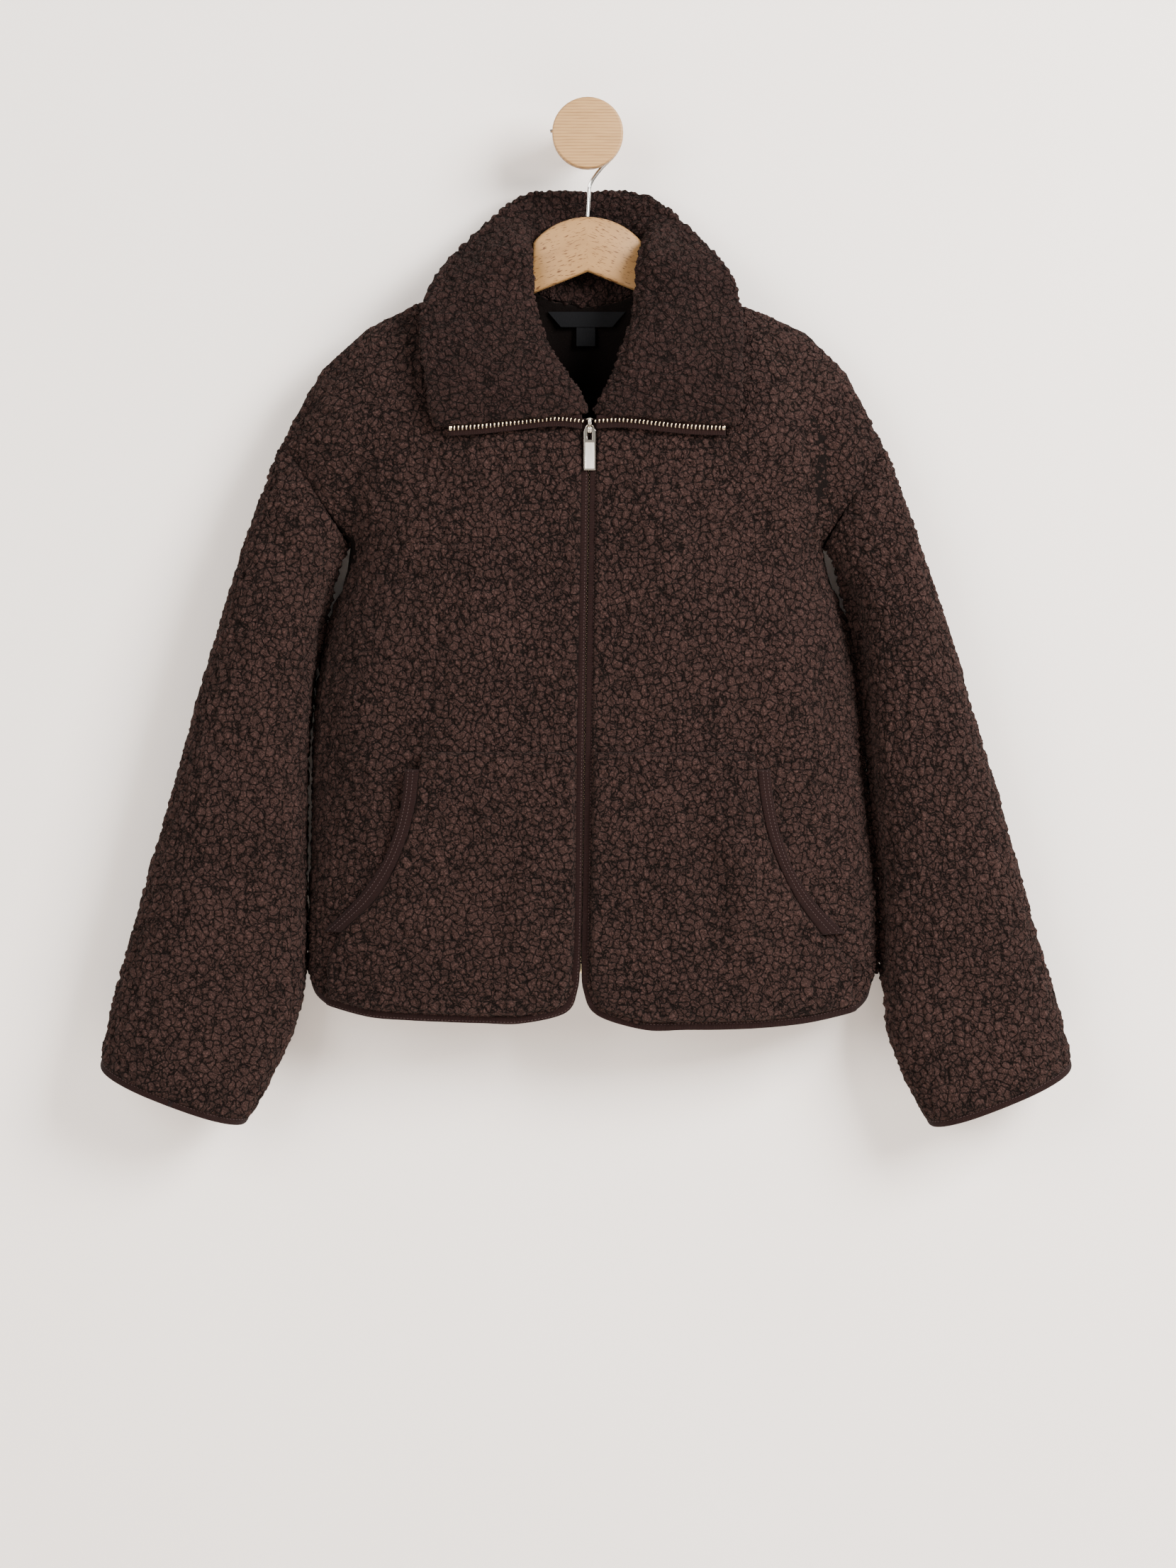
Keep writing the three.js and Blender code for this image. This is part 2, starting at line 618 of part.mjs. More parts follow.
function sleeveRing(side, row) {
  const sign = SIGN[side];
  const ring = SLEEVE_ROWS[side][row];
  const around = 2 * ARMHOLE_STEPS;
  const points = [];
  for (let k = 0; k < around; k += 1) {
    const inFront = k <= ARMHOLE_STEPS;
    const step = inFront ? k : around - k;
    const hole = armholePoint(side, step);
    const ends = k === 0 || k === ARMHOLE_STEPS;
    const holeY = ends ? SIDE_Y : (inFront ? frontY : backY)(hole.out * sign, hole.z);
    const angle = (Math.PI * step) / ARMHOLE_STEPS;
    const power = 2 / SLEEVE_SQUARENESS;
    const along = Math.sign(-Math.cos(angle)) * Math.abs(Math.cos(angle)) ** power;
    const deep = Math.sin(angle) ** power * (inFront ? -1 : 1);
    let fold = 0;
    for (const crease of SLEEVE_FOLDS) {
      const off = (row - crease.row - crease.climb * along * 0.5) / crease.wide;
      fold += crease.deep * Math.exp(-off * off) * Math.abs(deep);
    }
    const shape = vec(
      mix(ring.innerX, ring.outerX, (1 + along) / 2) * sign,
      ring.middle + (ring.half - fold) * deep,
      mix(ring.innerZ, ring.outerZ, (1 + along) / 2) + ring.droop * deep,
    );
    points.push(vec(hole.out * sign, holeY, hole.z).lerp(shape, ring.free));
  }
  return points;
}

for (const side of SIDES) {
  const rings = SLEEVE_ROWS[side].map((_, row) => sleeveRing(side, row));
  const normals = gridNormals(rings, true, SIGN[side] * -1);
  const inner = rings.map((ring, i) => ring.map((p, k) => {
    if (i > 0) return moved(p, normals[i][k], -WALL);
    const step = k <= ARMHOLE_STEPS ? k : 2 * ARMHOLE_STEPS - k;
    const seam = step === 0 ? sideDirection(side, UNDERARM_ROW) : armholeDirection(side, step, p.y);
    return moved(p, seam, WALL);
  }));
  addFleece(`sleeve_${side}`, wallSolid(
    rings.slice(0, SLEEVE_FLEECE_ROWS), inner.slice(0, SLEEVE_FLEECE_ROWS), true));
  const cuffRows = [SLEEVE_FLEECE_ROWS - 1, SLEEVE_FLEECE_ROWS];
  const cuffOuter = cuffRows.map((i) => rings[i].map((p, k) => moved(p, normals[i][k], -KNIT_SUNK)));
  const cuffInner = cuffRows.map((i) => inner[i]);
  addKnit(`cuff_binding_${side}`, wallSolid(cuffOuter, cuffInner, true, BINDING_BACK));
}

// Knit bindings of the front edge and the hem

function bindingWall(insets, edges, normals) {
  const place = (sink) => [
    insets.map((p, k) => moved(p, normals[k], -sink)),
    edges.map((p, k) => moved(p, normals[k], -sink)),
  ];
  return wallSolid(place(KNIT_SUNK), place(WALL), false, BINDING_BACK);
}

for (const side of SIDES) {
  const { points, normals, centre, hem } = fronts[side];
  const insets = [];
  const edges = [];
  const ways = [];
  const station = (i, j, edge, onSeam) => {
    insets.push(points[i][j]);
    edges.push(vec(edge.x, onSeam ? SIDE_Y : frontY(edge.x, edge.z), edge.z));
    ways.push(onSeam ? sideDirection(side, 0).negate() : normals[i][j]);
  };
  for (let row = OPEN_NECK_ROW; row >= 0; row -= 1) station(row, 0, centre[row].edge, false);
  for (let j = 1; j <= FRONT_COLUMNS; j += 1) station(0, j, hem[j].edge, j === FRONT_COLUMNS);
  addKnit(`front_binding_${side}`, bindingWall(insets, edges, ways));
}

const backEdges = backPoints[0].map((p, j) => {
  const atSide = j === 0 || j === backLast;
  const z = p.z - HEM_BINDING;
  return vec(p.x, atSide ? SIDE_Y : backY(p.x, z), z);
});
const backWays = backPoints[0].map((p, j) => (
  j === 0 || j === backLast ? sideDirection(sideOf(p.x), 0).negate() : backNormals[0][j]));
addKnit('back_binding', bindingWall(backPoints[0], backEdges, backWays));

// Patch pockets: the front's own points moved out, with a knit binding along the mouth

for (const side of SIDES) {
  const { points, normals } = fronts[side];
  const lifted = (rows, columns, height) => rows.map((i) => columns.map(
    (j) => moved(points[i][j], normals[i][j], height)));
  const range = (from, to) => Array.from({ length: to - from + 1 }, (_, k) => from + k);
  const bagRows = range(0, POCKET_TOP_ROW);
  const bagColumns = range(0, POCKET_COLUMNS);
  addFleece(`pocket_${side}`, wallSolid(
    lifted(bagRows, bagColumns, SEAM + POCKET_WALL), lifted(bagRows, bagColumns, SEAM), false));
  const mouthRows = range(POCKET_MOUTH.from, POCKET_MOUTH.to);
  const mouthColumns = [POCKET_COLUMNS, POCKET_COLUMNS + 1];
  addKnit(`pocket_binding_${side}`, wallSolid(
    lifted(mouthRows, mouthColumns, POCKET_BINDING_PROUD), lifted(mouthRows, mouthColumns, SEAM),
    false));
}

// Collar: one double band swept round the neck. At the back it stands; towards the front it
// rolls over and lies on the chest. Each row has the foot at the neck seam, the innermost
// point of the roll and the outer edge, for both sides, and how far the band is folded over.
const COLLAR_ROWS = table(
  ['footL', 'footLZ', 'rollL', 'rollLZ', 'edgeL', 'edgeLZ',
    'footR', 'footRZ', 'rollR', 'rollRZ', 'edgeR', 'edgeRZ', 'fold', 'footY', 'rollY', 'edgeY'],
  [
    [0, -155.4, 0, -100, 0, -49, 0, -155.4, 0, -100, 0, -49, 0, -22, -19, -15],
    [24, -151.7, 23, -97, 32, -49, 24, -151.7, 23, -97, 32, -49, 0.05, -24, -21, -16],
    [44, -143.6, 43, -90, 61, -53, 44, -143.6, 43, -90, 60, -55, 0.2, -29, -26, -21],
    [56, -133, 56, -88, 88, -77, 56, -133, 56, -88, 85, -78, 0.5, -37, -37, -31],
    [60, -126, 59, -97, 115, -105, 60, -126, 58, -97, 109, -104, 0.8, -47, -54, -46],
    [60, -130, 57, -116, 138, -131, 60, -130, 51, -116, 128, -127, 1, -60, -72, -62],
    [59.5, -148, 56, -140, 151, -160, 57, -148, 49, -140, 140, -158, 1, 0, 0, 0],
    [54.5, -176, 51, -172, 153, -190, 51.5, -176, 46, -172, 141.5, -188, 1, 0, 0, 0],
    [42.5, -206, 39.5, -202, 149, -220, 40, -206, 35.5, -202, 141, -220, 1, 0, 0, 0],
    [28.5, -230, 24.5, -226, 146, -245, 32, -230, 28, -226, 140, -245, 1, 0, 0, 0],
    [16, -246, 11.5, -243, 143, -259, 23, -246, 19, -243, 139, -259, 1, 0, 0, 0],
    [7.5, -260.5, 5, -262, 138, -273.5, 12, -260.5, 8.5, -262, 135, -273.5, 1, 0, 0, 0],
  ]);
const COLLAR_STATIONS = [0, 0.12, 0.25, 0.37, 0.5, 0.62, 0.75, 0.88, 1];
const ROWS_BETWEEN = 2;         // collar rows made for each row of the table
const COLLAR_FOOT = 3;          // thickness where it is sewn into the neck seam
const FLAP_CLEAR = 3.2;
const FLAP_BRIDGE = 18;         // the flap spans hollows of the chest up to this high
const ROLL_HEIGHT = 7.5;
const CREST_SHARE = 0.12;       // where between roll and edge the crest and the flap points lie
const FLAP_SHARE = 0.55;
const CREST_ARCH = 6;           // how far those points arch out of the straight band
const FLAP_ARCH = 4;
const LYING_ARCH = 2;

function collarSection(side, row) {
  const tag = side === 'left' ? 'L' : 'R';
  const sign = SIGN[side];
  const at = (name) => ({ x: row[name + tag] * sign, z: row[`${name}${tag}Z`] });
  const foot = at('foot');
  const roll = at('roll');
  const edge = at('edge');
  const part = (t) => ({ x: mix(roll.x, edge.x, t), z: mix(roll.z, edge.z, t) });
  const crest = part(CREST_SHARE);
  const flap = part(FLAP_SHARE);
  const lying = row.footY === 0;
  const half = COLLAR_WALL / 2;
  const footY = lying ? frontY(foot.x, foot.z) + WALL / 2 : row.footY;
  const crestY = lying ? frontY(crest.x, crest.z) - half - ROLL_HEIGHT
    : mix(row.rollY, row.edgeY, CREST_SHARE) - CREST_ARCH * row.fold;
  const rollY = lying ? (footY + crestY) / 2 : row.rollY;
  const restY = ({ x, z }) => Math.min(frontY(x, z), frontY(x, z - FLAP_BRIDGE)) - half - FLAP_CLEAR;
  const flapY = lying ? restY(flap) - LYING_ARCH
    : mix(row.rollY, row.edgeY, FLAP_SHARE) - FLAP_ARCH * row.fold;
  const edgeY = lying ? restY(edge) : row.edgeY;
  return [
    vec(foot.x, footY, foot.z), vec(roll.x, rollY, roll.z), vec(crest.x, crestY, crest.z),
    vec(flap.x, flapY, flap.z), vec(edge.x, edgeY, edge.z),
  ];
}

const collarSections = [];
for (let i = COLLAR_ROWS.length - 1; i > 0; i -= 1) {
  collarSections.push(collarSection('left', COLLAR_ROWS[i]));
}
for (const row of COLLAR_ROWS) collarSections.push(collarSection('right', row));
const collarRails = collarSections[0].map((_, k) => new THREE.CatmullRomCurve3(
  collarSections.map((section) => section[k]), false, 'centripetal'));
const collarRowCount = (collarSections.length - 1) * ROWS_BETWEEN;
const collarPoints = [];
for (let i = 0; i <= collarRowCount; i += 1) {
  const section = new THREE.CatmullRomCurve3(
    collarRails.map((rail) => rail.getPoint(i / collarRowCount)), false, 'centripetal');
  collarPoints.push(COLLAR_STATIONS.map((t) => section.getPoint(t)));
}
const collarNormals = gridNormals(collarPoints, false, 1);
const collarHalf = (j) => (j === 0 ? COLLAR_FOOT / 2 : COLLAR_WALL / 2);
const collarFace = (way) => collarPoints.map((row, i) => row.map(
  (p, j) => moved(p, collarNormals[i][j], way * collarHalf(j))));
addFleece('collar', wallSolid(collarFace(1), collarFace(-1), false));

// The open halves of the zip, along the lower edges of the collar's two flaps
const OPEN_ZIP = {
  left: table(['out', 'z'], [
    [5, -270], [26, -268], [44, -269], [71, -272], [100, -275], [128, -276.5],
  ]),
  right: table(['out', 'z'], [
    [8, -270], [27, -269], [45, -270], [71, -273], [100, -275.5], [127, -276],
  ]),
};
const TAPE = { above: 2.8, below: 7, off: 7.6, thickness: 1.4 };
const TEETH = { half: 2, off: 9.3, thickness: 2 };

function strip(side, above, below, off, thickness) {
  const grid = (depth) => [above, -below].map((dz) => OPEN_ZIP[side].map(({ out, z }) => {
    const x = out * SIGN[side];
    return vec(x, frontY(x, z) - depth, z + dz);
  }));
  return wallSolid(grid(off + thickness), grid(off), false);
}

for (const side of SIDES) {
  addKnit(`zip_tape_${side}`, strip(side, TAPE.above, TAPE.below, TAPE.off, TAPE.thickness));
  addGold(`zip_teeth_${side}`, strip(side, TEETH.half, TEETH.half, TEETH.off, TEETH.thickness));
}

// The closed chain behind the two front bindings, and the box at its foot
const chainRows = [];
for (let row = 2; row <= OPEN_NECK_ROW; row += 1) {
  chainRows.push(fronts.left.centre[row].edge.z);
}
const chainGrid = (depth) => chainRows.map((z) => [-1, 1].map((way) => {
  const x = zipX(z) + way * CHAIN_HALF_WIDTH;
  return vec(x, frontY(zipX(z), z) + WALL + SEAM + depth, z);
}));
addGold('zip_chain', wallSolid(chainGrid(0), chainGrid(CHAIN_THICKNESS), false));

// Flat shapes drawn in the outline's plane and given a thickness in depth
function slab(shape, front, back, bevel) {
  const size = bevel ? bevel.size : 0;
  const deep = bevel ? bevel.deep : 0;
  const geometry = new THREE.ExtrudeGeometry(shape, {
    depth: back - front - 2 * deep, bevelEnabled: Boolean(bevel), bevelSize: size,
    bevelThickness: deep, bevelOffset: -size, bevelSegments: bevel ? bevel.segments : 1,
    curveSegments: 10,
  });
  geometry.rotateX(Math.PI / 2);
  geometry.translate(0, back - deep, 0);
  return geometry;
}

function roundedRect(shape, x, z, width, height, radius) {
  const right = x + width / 2;
  const left = x - width / 2;
  const top = z + height / 2;
  const foot = z - height / 2;
  const quarter = Math.PI / 2;
  shape.absarc(right - radius, top - radius, radius, 0, quarter, false);
  shape.absarc(left + radius, top - radius, radius, quarter, 2 * quarter, false);
  shape.absarc(left + radius, foot + radius, radius, 2 * quarter, 3 * quarter, false);
  shape.absarc(right - radius, foot + radius, radius, 3 * quarter, 4 * quarter, false);
  shape.closePath();
  return shape;
}

const BOX = { width: 6.5, height: 9, thickness: 3.4, corner: 1 };
const boxZ = chainRows[0] - BOX.height / 2 - SEAM;
const boxY = frontY(zipX(boxZ), boxZ) + WALL + SEAM;
addGold('zip_box', slab(
  roundedRect(new THREE.Shape(), zipX(boxZ), boxZ, BOX.width, BOX.height, BOX.corner),
  boxY, boxY + BOX.thickness));

// Slider with its bail, in front of the bindings at the foot of the open neck
const SLIDER = {
  x: 1.9, top: -266.6, height: 15, width: 9.5, thickness: 3.2, chamfer: 1.5, taper: 1.2,
};

// A shape alike on both sides of the slider's own middle line
function mirrored(rightHalf) {
  const shape = new THREE.Shape();
  const leftHalf = [...rightHalf].reverse().map(([out, z]) => [-out, z]);
  [...rightHalf, ...leftHalf].forEach(([out, z], i) => {
    if (i === 0) shape.moveTo(SLIDER.x + out, z);
    else shape.lineTo(SLIDER.x + out, z);
  });
  shape.closePath();
  return shape;
}

const sliderBack = frontY(SLIDER.x, SLIDER.top - SLIDER.height) + KNIT_SUNK - SEAM;
const sliderFront = sliderBack - SLIDER.thickness;
const sliderShape = mirrored([
  [SLIDER.width / 2 - SLIDER.chamfer, SLIDER.top],
  [SLIDER.width / 2, SLIDER.top - SLIDER.chamfer],
  [SLIDER.width / 2 - SLIDER.taper, SLIDER.top - SLIDER.height],
]);
add('slider', slab(sliderShape, sliderFront, sliderBack), COLOURS.silver, 0.3, 1);

// The bail is a small bridge seen from the side; the pull's top bar turns inside it
const BAIL = { width: 3, top: -271.2, foot: -285, stand: 5.4, wire: 1.2, shoulder: 1.4 };
const PULL_AXIS = { y: sliderFront - 2.1, z: -277 };
const bailShape = new THREE.Shape();
bailShape.moveTo(0, BAIL.top);
bailShape.lineTo(BAIL.wire - BAIL.stand, BAIL.top);
bailShape.lineTo(-BAIL.stand, BAIL.top - BAIL.shoulder);
bailShape.lineTo(-BAIL.stand, BAIL.foot + BAIL.shoulder);
bailShape.lineTo(BAIL.wire - BAIL.stand, BAIL.foot);
bailShape.lineTo(0, BAIL.foot);
bailShape.lineTo(0, BAIL.foot + BAIL.wire);
bailShape.lineTo(BAIL.wire - BAIL.stand, BAIL.foot + BAIL.wire);
bailShape.lineTo(BAIL.wire - BAIL.stand, BAIL.top - BAIL.wire);
bailShape.lineTo(0, BAIL.top - BAIL.wire);
bailShape.closePath();

function sideProfile(shape, left, width, front) {
  const geometry = new THREE.ExtrudeGeometry(shape, { depth: width, bevelEnabled: false });
  const turn = new THREE.Matrix4().makeBasis(vec(0, 1, 0), vec(0, 0, 1), vec(1, 0, 0));
  geometry.applyMatrix4(turn);
  geometry.translate(left, front, 0);
  return geometry;
}
add('slider_bail', sideProfile(bailShape, SLIDER.x - BAIL.width / 2, BAIL.width, sliderFront - SEAM),
  COLOURS.silver, 0.3, 1);

// Pull tab: a plate with a window that hangs on the bail by its top bar
const PULL = {
  top: -275.3, foot: -314.8, topWidth: 9, width: 10.6, thickness: 1.8, chamfer: 1.5,
  windowTop: -278.7, windowFoot: -285.8, windowWidth: 4.6, windowCorner: 1,
};
const pullShape = mirrored([
  [PULL.topWidth / 2 - PULL.chamfer, PULL.top],
  [PULL.topWidth / 2, PULL.top - PULL.chamfer],
  [PULL.width / 2, PULL.foot + PULL.chamfer],
  [PULL.width / 2 - PULL.chamfer, PULL.foot],
]);
pullShape.holes.push(roundedRect(
  new THREE.Path(), SLIDER.x, (PULL.windowTop + PULL.windowFoot) / 2, PULL.windowWidth,
  PULL.windowTop - PULL.windowFoot, PULL.windowCorner));
add('pull_tab', slab(pullShape, PULL_AXIS.y - PULL.thickness / 2, PULL_AXIS.y + PULL.thickness / 2),
  COLOURS.silver, 0.3, 1);

// Neck label and size tab, both bare, hanging inside the back from the neck seam
const LABEL = { x: -1, top: -161, height: 14.3, topHalf: 36.3, footHalf: 24, off: 1.5, thickness: 0.8 };
const SIZE_TAB = { x: -1.8, top: -165, height: 28, width: 17.5, corner: 0.5 };
const labelY = backY(0, LABEL.top) - WALL - LABEL.off;
const labelShape = new THREE.Shape();
labelShape.moveTo(LABEL.x - LABEL.topHalf, LABEL.top);
labelShape.lineTo(LABEL.x + LABEL.topHalf, LABEL.top);
labelShape.lineTo(LABEL.x + LABEL.footHalf, LABEL.top - LABEL.height);
labelShape.lineTo(LABEL.x - LABEL.footHalf, LABEL.top - LABEL.height);
labelShape.closePath();
add('neck_label', slab(labelShape, labelY - LABEL.thickness, labelY), COLOURS.label, 0.6, 0);
const sizeTabShape = roundedRect(
  new THREE.Shape(), SIZE_TAB.x, SIZE_TAB.top - SIZE_TAB.height / 2, SIZE_TAB.width,
  SIZE_TAB.height, SIZE_TAB.corner);
add('size_tab', slab(sizeTabShape, labelY + SEAM, labelY + SEAM + LABEL.thickness),
  COLOURS.label, 0.6, 0);

// Hanger: a flat beech blank with a round yoke, arched underneath, its arms inside the shoulders
const HANGER = {
  half: 5, bevel: 3.5, bevelDeep: 4.2, yoke: 66, yokeTop: -75, yokeEnd: 51.5,
  apex: -126, underFall: 0.384, clear: 2.2,
};
const hangerTop = (side, out) => {
  const step = 2;
  const slope = (ridgeZ(side, out + step) - ridgeZ(side, out - step)) / (2 * step);
  return ridgeZ(side, out) - (WALL + HANGER.clear) * Math.hypot(1, slope);
};
const NECK_OF_ARM = table(['out', 'z'], [[52.5, -128], [58, -139]]);
const ARM_STATIONS = [70, 90, 110, 130, 150, 170, 190, 204];
const ARM_TIP = table(['out', 'z'], [
  [212, -206], [204, HANGER.apex - HANGER.underFall * 204 - 4],
]);
const yokeAngle = Math.asin(HANGER.yokeEnd / HANGER.yoke);
const arm = (side) => [
  ...NECK_OF_ARM, ...ARM_STATIONS.map((out) => ({ out, z: hangerTop(side, out) })), ...ARM_TIP,
].map(({ out, z }) => [out * SIGN[side], z]);
const hangerShape = new THREE.Shape();
hangerShape.absarc(0, HANGER.yokeTop - HANGER.yoke, HANGER.yoke,
  Math.PI / 2 - yokeAngle, Math.PI / 2 + yokeAngle, false);
const hangerRoute = [...arm('left'), [0, HANGER.apex], ...arm('right').reverse()];
for (const [x, z] of hangerRoute) hangerShape.lineTo(x, z);
hangerShape.closePath();
add('hanger', slab(hangerShape, SIDE_Y - HANGER.half, SIDE_Y + HANGER.half,
  { size: HANGER.bevel, deep: HANGER.bevelDeep, segments: 2 }), COLOURS.beech, 0.55, 0);

// Wall knob: one turned piece, a stem with a flat disc in front
const KNOB = { stem: 18, disc: 33, neck: 60, face: 78, ease: 1.2 };
const knobProfile = [
  [0, 0], [KNOB.stem, 0], [KNOB.stem, KNOB.neck], [KNOB.disc - KNOB.ease, KNOB.neck],
  [KNOB.disc, KNOB.neck + KNOB.ease], [KNOB.disc, KNOB.face - KNOB.ease],
  [KNOB.disc - KNOB.ease, KNOB.face], [0, KNOB.face],
].map(([r, h]) => new THREE.Vector2(r, h));
const knob = new THREE.LatheGeometry(knobProfile, 40);
knob.rotateX(Math.PI);
add('wall_knob', knob, COLOURS.beech, 0.6, 0);

// Hook: steel wire from the yoke up and round over the knob's stem, its end flared outwards
const HOOK = { radius: 1.75, bend: 26, from: -56, to: 124, step: 20, sides: 4, steps: 44 };
const SHANK = table(['x', 'z'], [
  [0, HANGER.yokeTop + SEAM], [1, -60], [1.9, -46], [5, -39.5],
]);
const HOOK_END = table(['x', 'z'], [[-27, 7.5], [-35, 4.8]]);
const bendZ = KNOB.stem + SEAM + HOOK.radius - HOOK.bend;
const hookBend = [];
for (let angle = HOOK.from; angle <= HOOK.to; angle += HOOK.step) {
  const turn = THREE.MathUtils.degToRad(angle);
  hookBend.push({ x: HOOK.bend * Math.cos(turn), z: bendZ + HOOK.bend * Math.sin(turn) });
}
const hookCurve = new THREE.CatmullRomCurve3(
  [...SHANK, ...hookBend, ...HOOK_END].map(({ x, z }) => vec(x, 0, z)), false, 'centripetal');
const wireSection = new THREE.Shape();
wireSection.absarc(0, 0, HOOK.radius, 0, 2 * Math.PI, false);
const hook = new THREE.ExtrudeGeometry(wireSection, {
  steps: HOOK.steps, curveSegments: HOOK.sides, extrudePath: hookCurve, bevelEnabled: false,
});
hook.translate(0, SIDE_Y, 0);
add('hook', hook, COLOURS.wire, 0.3, 1);

export default jacket;
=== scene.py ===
import itertools
import math

import bmesh
import bpy
import numpy as np
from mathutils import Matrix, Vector
from mathutils.kdtree import KDTree


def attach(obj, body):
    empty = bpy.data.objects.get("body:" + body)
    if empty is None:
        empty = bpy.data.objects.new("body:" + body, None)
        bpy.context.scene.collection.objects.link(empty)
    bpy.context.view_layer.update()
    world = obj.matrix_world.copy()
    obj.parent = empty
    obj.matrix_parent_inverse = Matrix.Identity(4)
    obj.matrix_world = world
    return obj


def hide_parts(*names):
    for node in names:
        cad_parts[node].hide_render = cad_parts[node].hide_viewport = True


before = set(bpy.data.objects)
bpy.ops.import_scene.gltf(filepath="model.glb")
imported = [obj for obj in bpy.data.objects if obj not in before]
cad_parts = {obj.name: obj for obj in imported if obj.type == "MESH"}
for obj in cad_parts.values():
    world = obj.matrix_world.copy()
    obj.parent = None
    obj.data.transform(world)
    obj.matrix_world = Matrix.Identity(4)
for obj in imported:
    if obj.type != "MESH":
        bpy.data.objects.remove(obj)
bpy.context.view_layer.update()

# The camera looks straight at the wall from a few metres away, at the middle of the
# jacket. The picture is PHOTO_HIGH pixels high, and the knob's middle lies on KNOB_ROW.
PIXEL = 0.00066
PHOTO_HIGH, KNOB_ROW = 2212, 192
VIEW_MIDDLE = Vector((0.0003, -0.05, (KNOB_ROW - PHOTO_HIGH / 2) * PIXEL))
VIEW_DISTANCE = 4.5
SENSOR = 36
bpy.ops.object.select_all(action="DESELECT")
eye = bpy.data.cameras.new("eye")
eye.sensor_width = SENSOR
eye.lens = SENSOR * VIEW_DISTANCE / (PHOTO_HIGH * PIXEL)
eye.dof.use_dof = False
camera = bpy.data.objects.new("camera", eye)
bpy.context.scene.collection.objects.link(camera)
camera.location = VIEW_MIDDLE + Vector((0, -VIEW_DISTANCE, 0))
camera.rotation_euler = (math.radians(90), 0, 0)
bpy.context.scene.camera = camera

# The wall is plain and painted white, just behind the knob's rear face. The floor is out
# of sight below. Materials are made with two small classes: a wire and a finish.
ROOM = 12
WALL_Y, FLOOR_Z = 0.001, -1.75


class Wire:
    """A number on its way through a finish. Sums and products of wires add Math nodes."""

    def __init__(self, finish, socket):
        self.finish = finish
        self.socket = socket

    def sum(self, operation, first, second):
        return self.finish.node("ShaderNodeMath", {"operation": operation}, {0: first, 1: second})

    def __add__(self, other):
        return self.sum("ADD", self, other)

    def __radd__(self, other):
        return self.sum("ADD", other, self)

    def __sub__(self, other):
        return self.sum("SUBTRACT", self, other)

    def __rsub__(self, other):
        return self.sum("SUBTRACT", other, self)

    def __mul__(self, other):
        return self.sum("MULTIPLY", self, other)

    def __pow__(self, other):
        return self.sum("POWER", self, other)


class Finish:
    """A material whose nodes are added one by one in front of its surface."""

    def __init__(self, name, **sockets):
        self.material = bpy.data.materials.new(name)
        self.material.use_nodes = True
        self.tree = self.material.node_tree
        self.surface = self.tree.nodes["Principled BSDF"]
        self.set(**{"roughness": 0.8, **sockets})

    def set(self, **sockets):
        named = {socket.name.lower().replace(" ", "_"): socket for socket in self.surface.inputs}
        for key, value in sockets.items():
            self.feed(named[key], value)
        return self

    def feed(self, socket, value):
        if isinstance(value, Wire):
            self.tree.links.new(value.socket, socket)
        else:
            socket.default_value = value

    def node(self, kind, settings=None, sockets=None, output=0):
        node = self.tree.nodes.new(kind)
        for key, value in (settings or {}).items():
            if key == "stops":
                for stop, (place, colour) in zip(node.color_ramp.elements, value):
                    stop.position, stop.color = place, colour
                for place, colour in value[2:]:
                    node.color_ramp.elements.new(place).color = colour
            else:
                setattr(node, key, value)
        for key, value in (sockets or {}).items():
            self.feed(node.inputs[key], value)
        return Wire(self, node.outputs[output])

    def place(self, scale=(1, 1, 1), turn=(0, 0, 0)):
        return self.node("ShaderNodeMapping", {}, {
            "Vector": self.node("ShaderNodeTexCoord", {}, {}, "Object"),
            "Scale": scale, "Rotation": turn})

    def noise(self, scale, detail=2.0, rough=0.5, bend=0.0, where=None):
        return self.node("ShaderNodeTexNoise", {}, {
            "Vector": where or self.place(), "Scale": scale, "Detail": detail,
            "Roughness": rough, "Distortion": bend})

    def between(self, share, dark, light):
        """The colour between two colours, at a share from 0 to 1."""
        share = self.node("ShaderNodeClamp", {}, {"Value": share})
        return self.node("ShaderNodeMix", {"data_type": "RGBA"}, {
            "Factor": share, 6: dark, 7: light}, 2)

    def bump(self, height, distance, strength=1.0):
        return self.node("ShaderNodeBump", {}, {
            "Height": height, "Distance": distance, "Strength": strength})


def colour(red, green, blue):
    """A colour as a picture states it, from 0 to 255, turned into light."""
    return (*[c / 255 / 12.92 if c <= 10 else ((c / 255 + 0.055) / 1.055) ** 2.4
              for c in (red, green, blue)], 1.0)


paint = Finish("white_paint", roughness=0.9)
paint.set(base_color=paint.between(
    paint.noise(3.0), colour(238, 230, 223), colour(243, 236, 230)))
for name, place, turn in (
        ("wall", (0, WALL_Y, 0), (math.radians(90), 0, 0)),
        ("floor", (0, WALL_Y - ROOM / 2, FLOOR_Z), (0, 0, 0))):
    bpy.ops.mesh.primitive_plane_add(size=ROOM, location=place, rotation=turn)
    room = bpy.context.object
    room.name = name
    room.data.materials.append(paint.material)

# Daylight from a large window on the viewer's right, a little above, and the soft light
# of the room from everywhere.
for name, place, size, power, tint in (
        ("window", (2.3, -2.4, 0.9), 1.6, 370, (1.0, 0.985, 0.97)),
        ("room_light", (-2.4, -3.4, 0.6), 2.6, 190, (1.0, 0.97, 0.94))):
    glow = bpy.data.lights.new(name, "AREA")
    glow.shape, glow.size, glow.energy, glow.color = "SQUARE", size, power, tint
    lamp = bpy.data.objects.new(name, glow)
    bpy.context.scene.collection.objects.link(lamp)
    lamp.location = place
    lamp.rotation_euler = (VIEW_MIDDLE - Vector(place)).to_track_quat("-Z", "Y").to_euler()
world = bpy.data.worlds.new("daylight")
bpy.context.scene.world = world
world.use_nodes = True
world.node_tree.nodes["Background"].inputs["Color"].default_value = (1.0, 0.985, 0.97, 1)
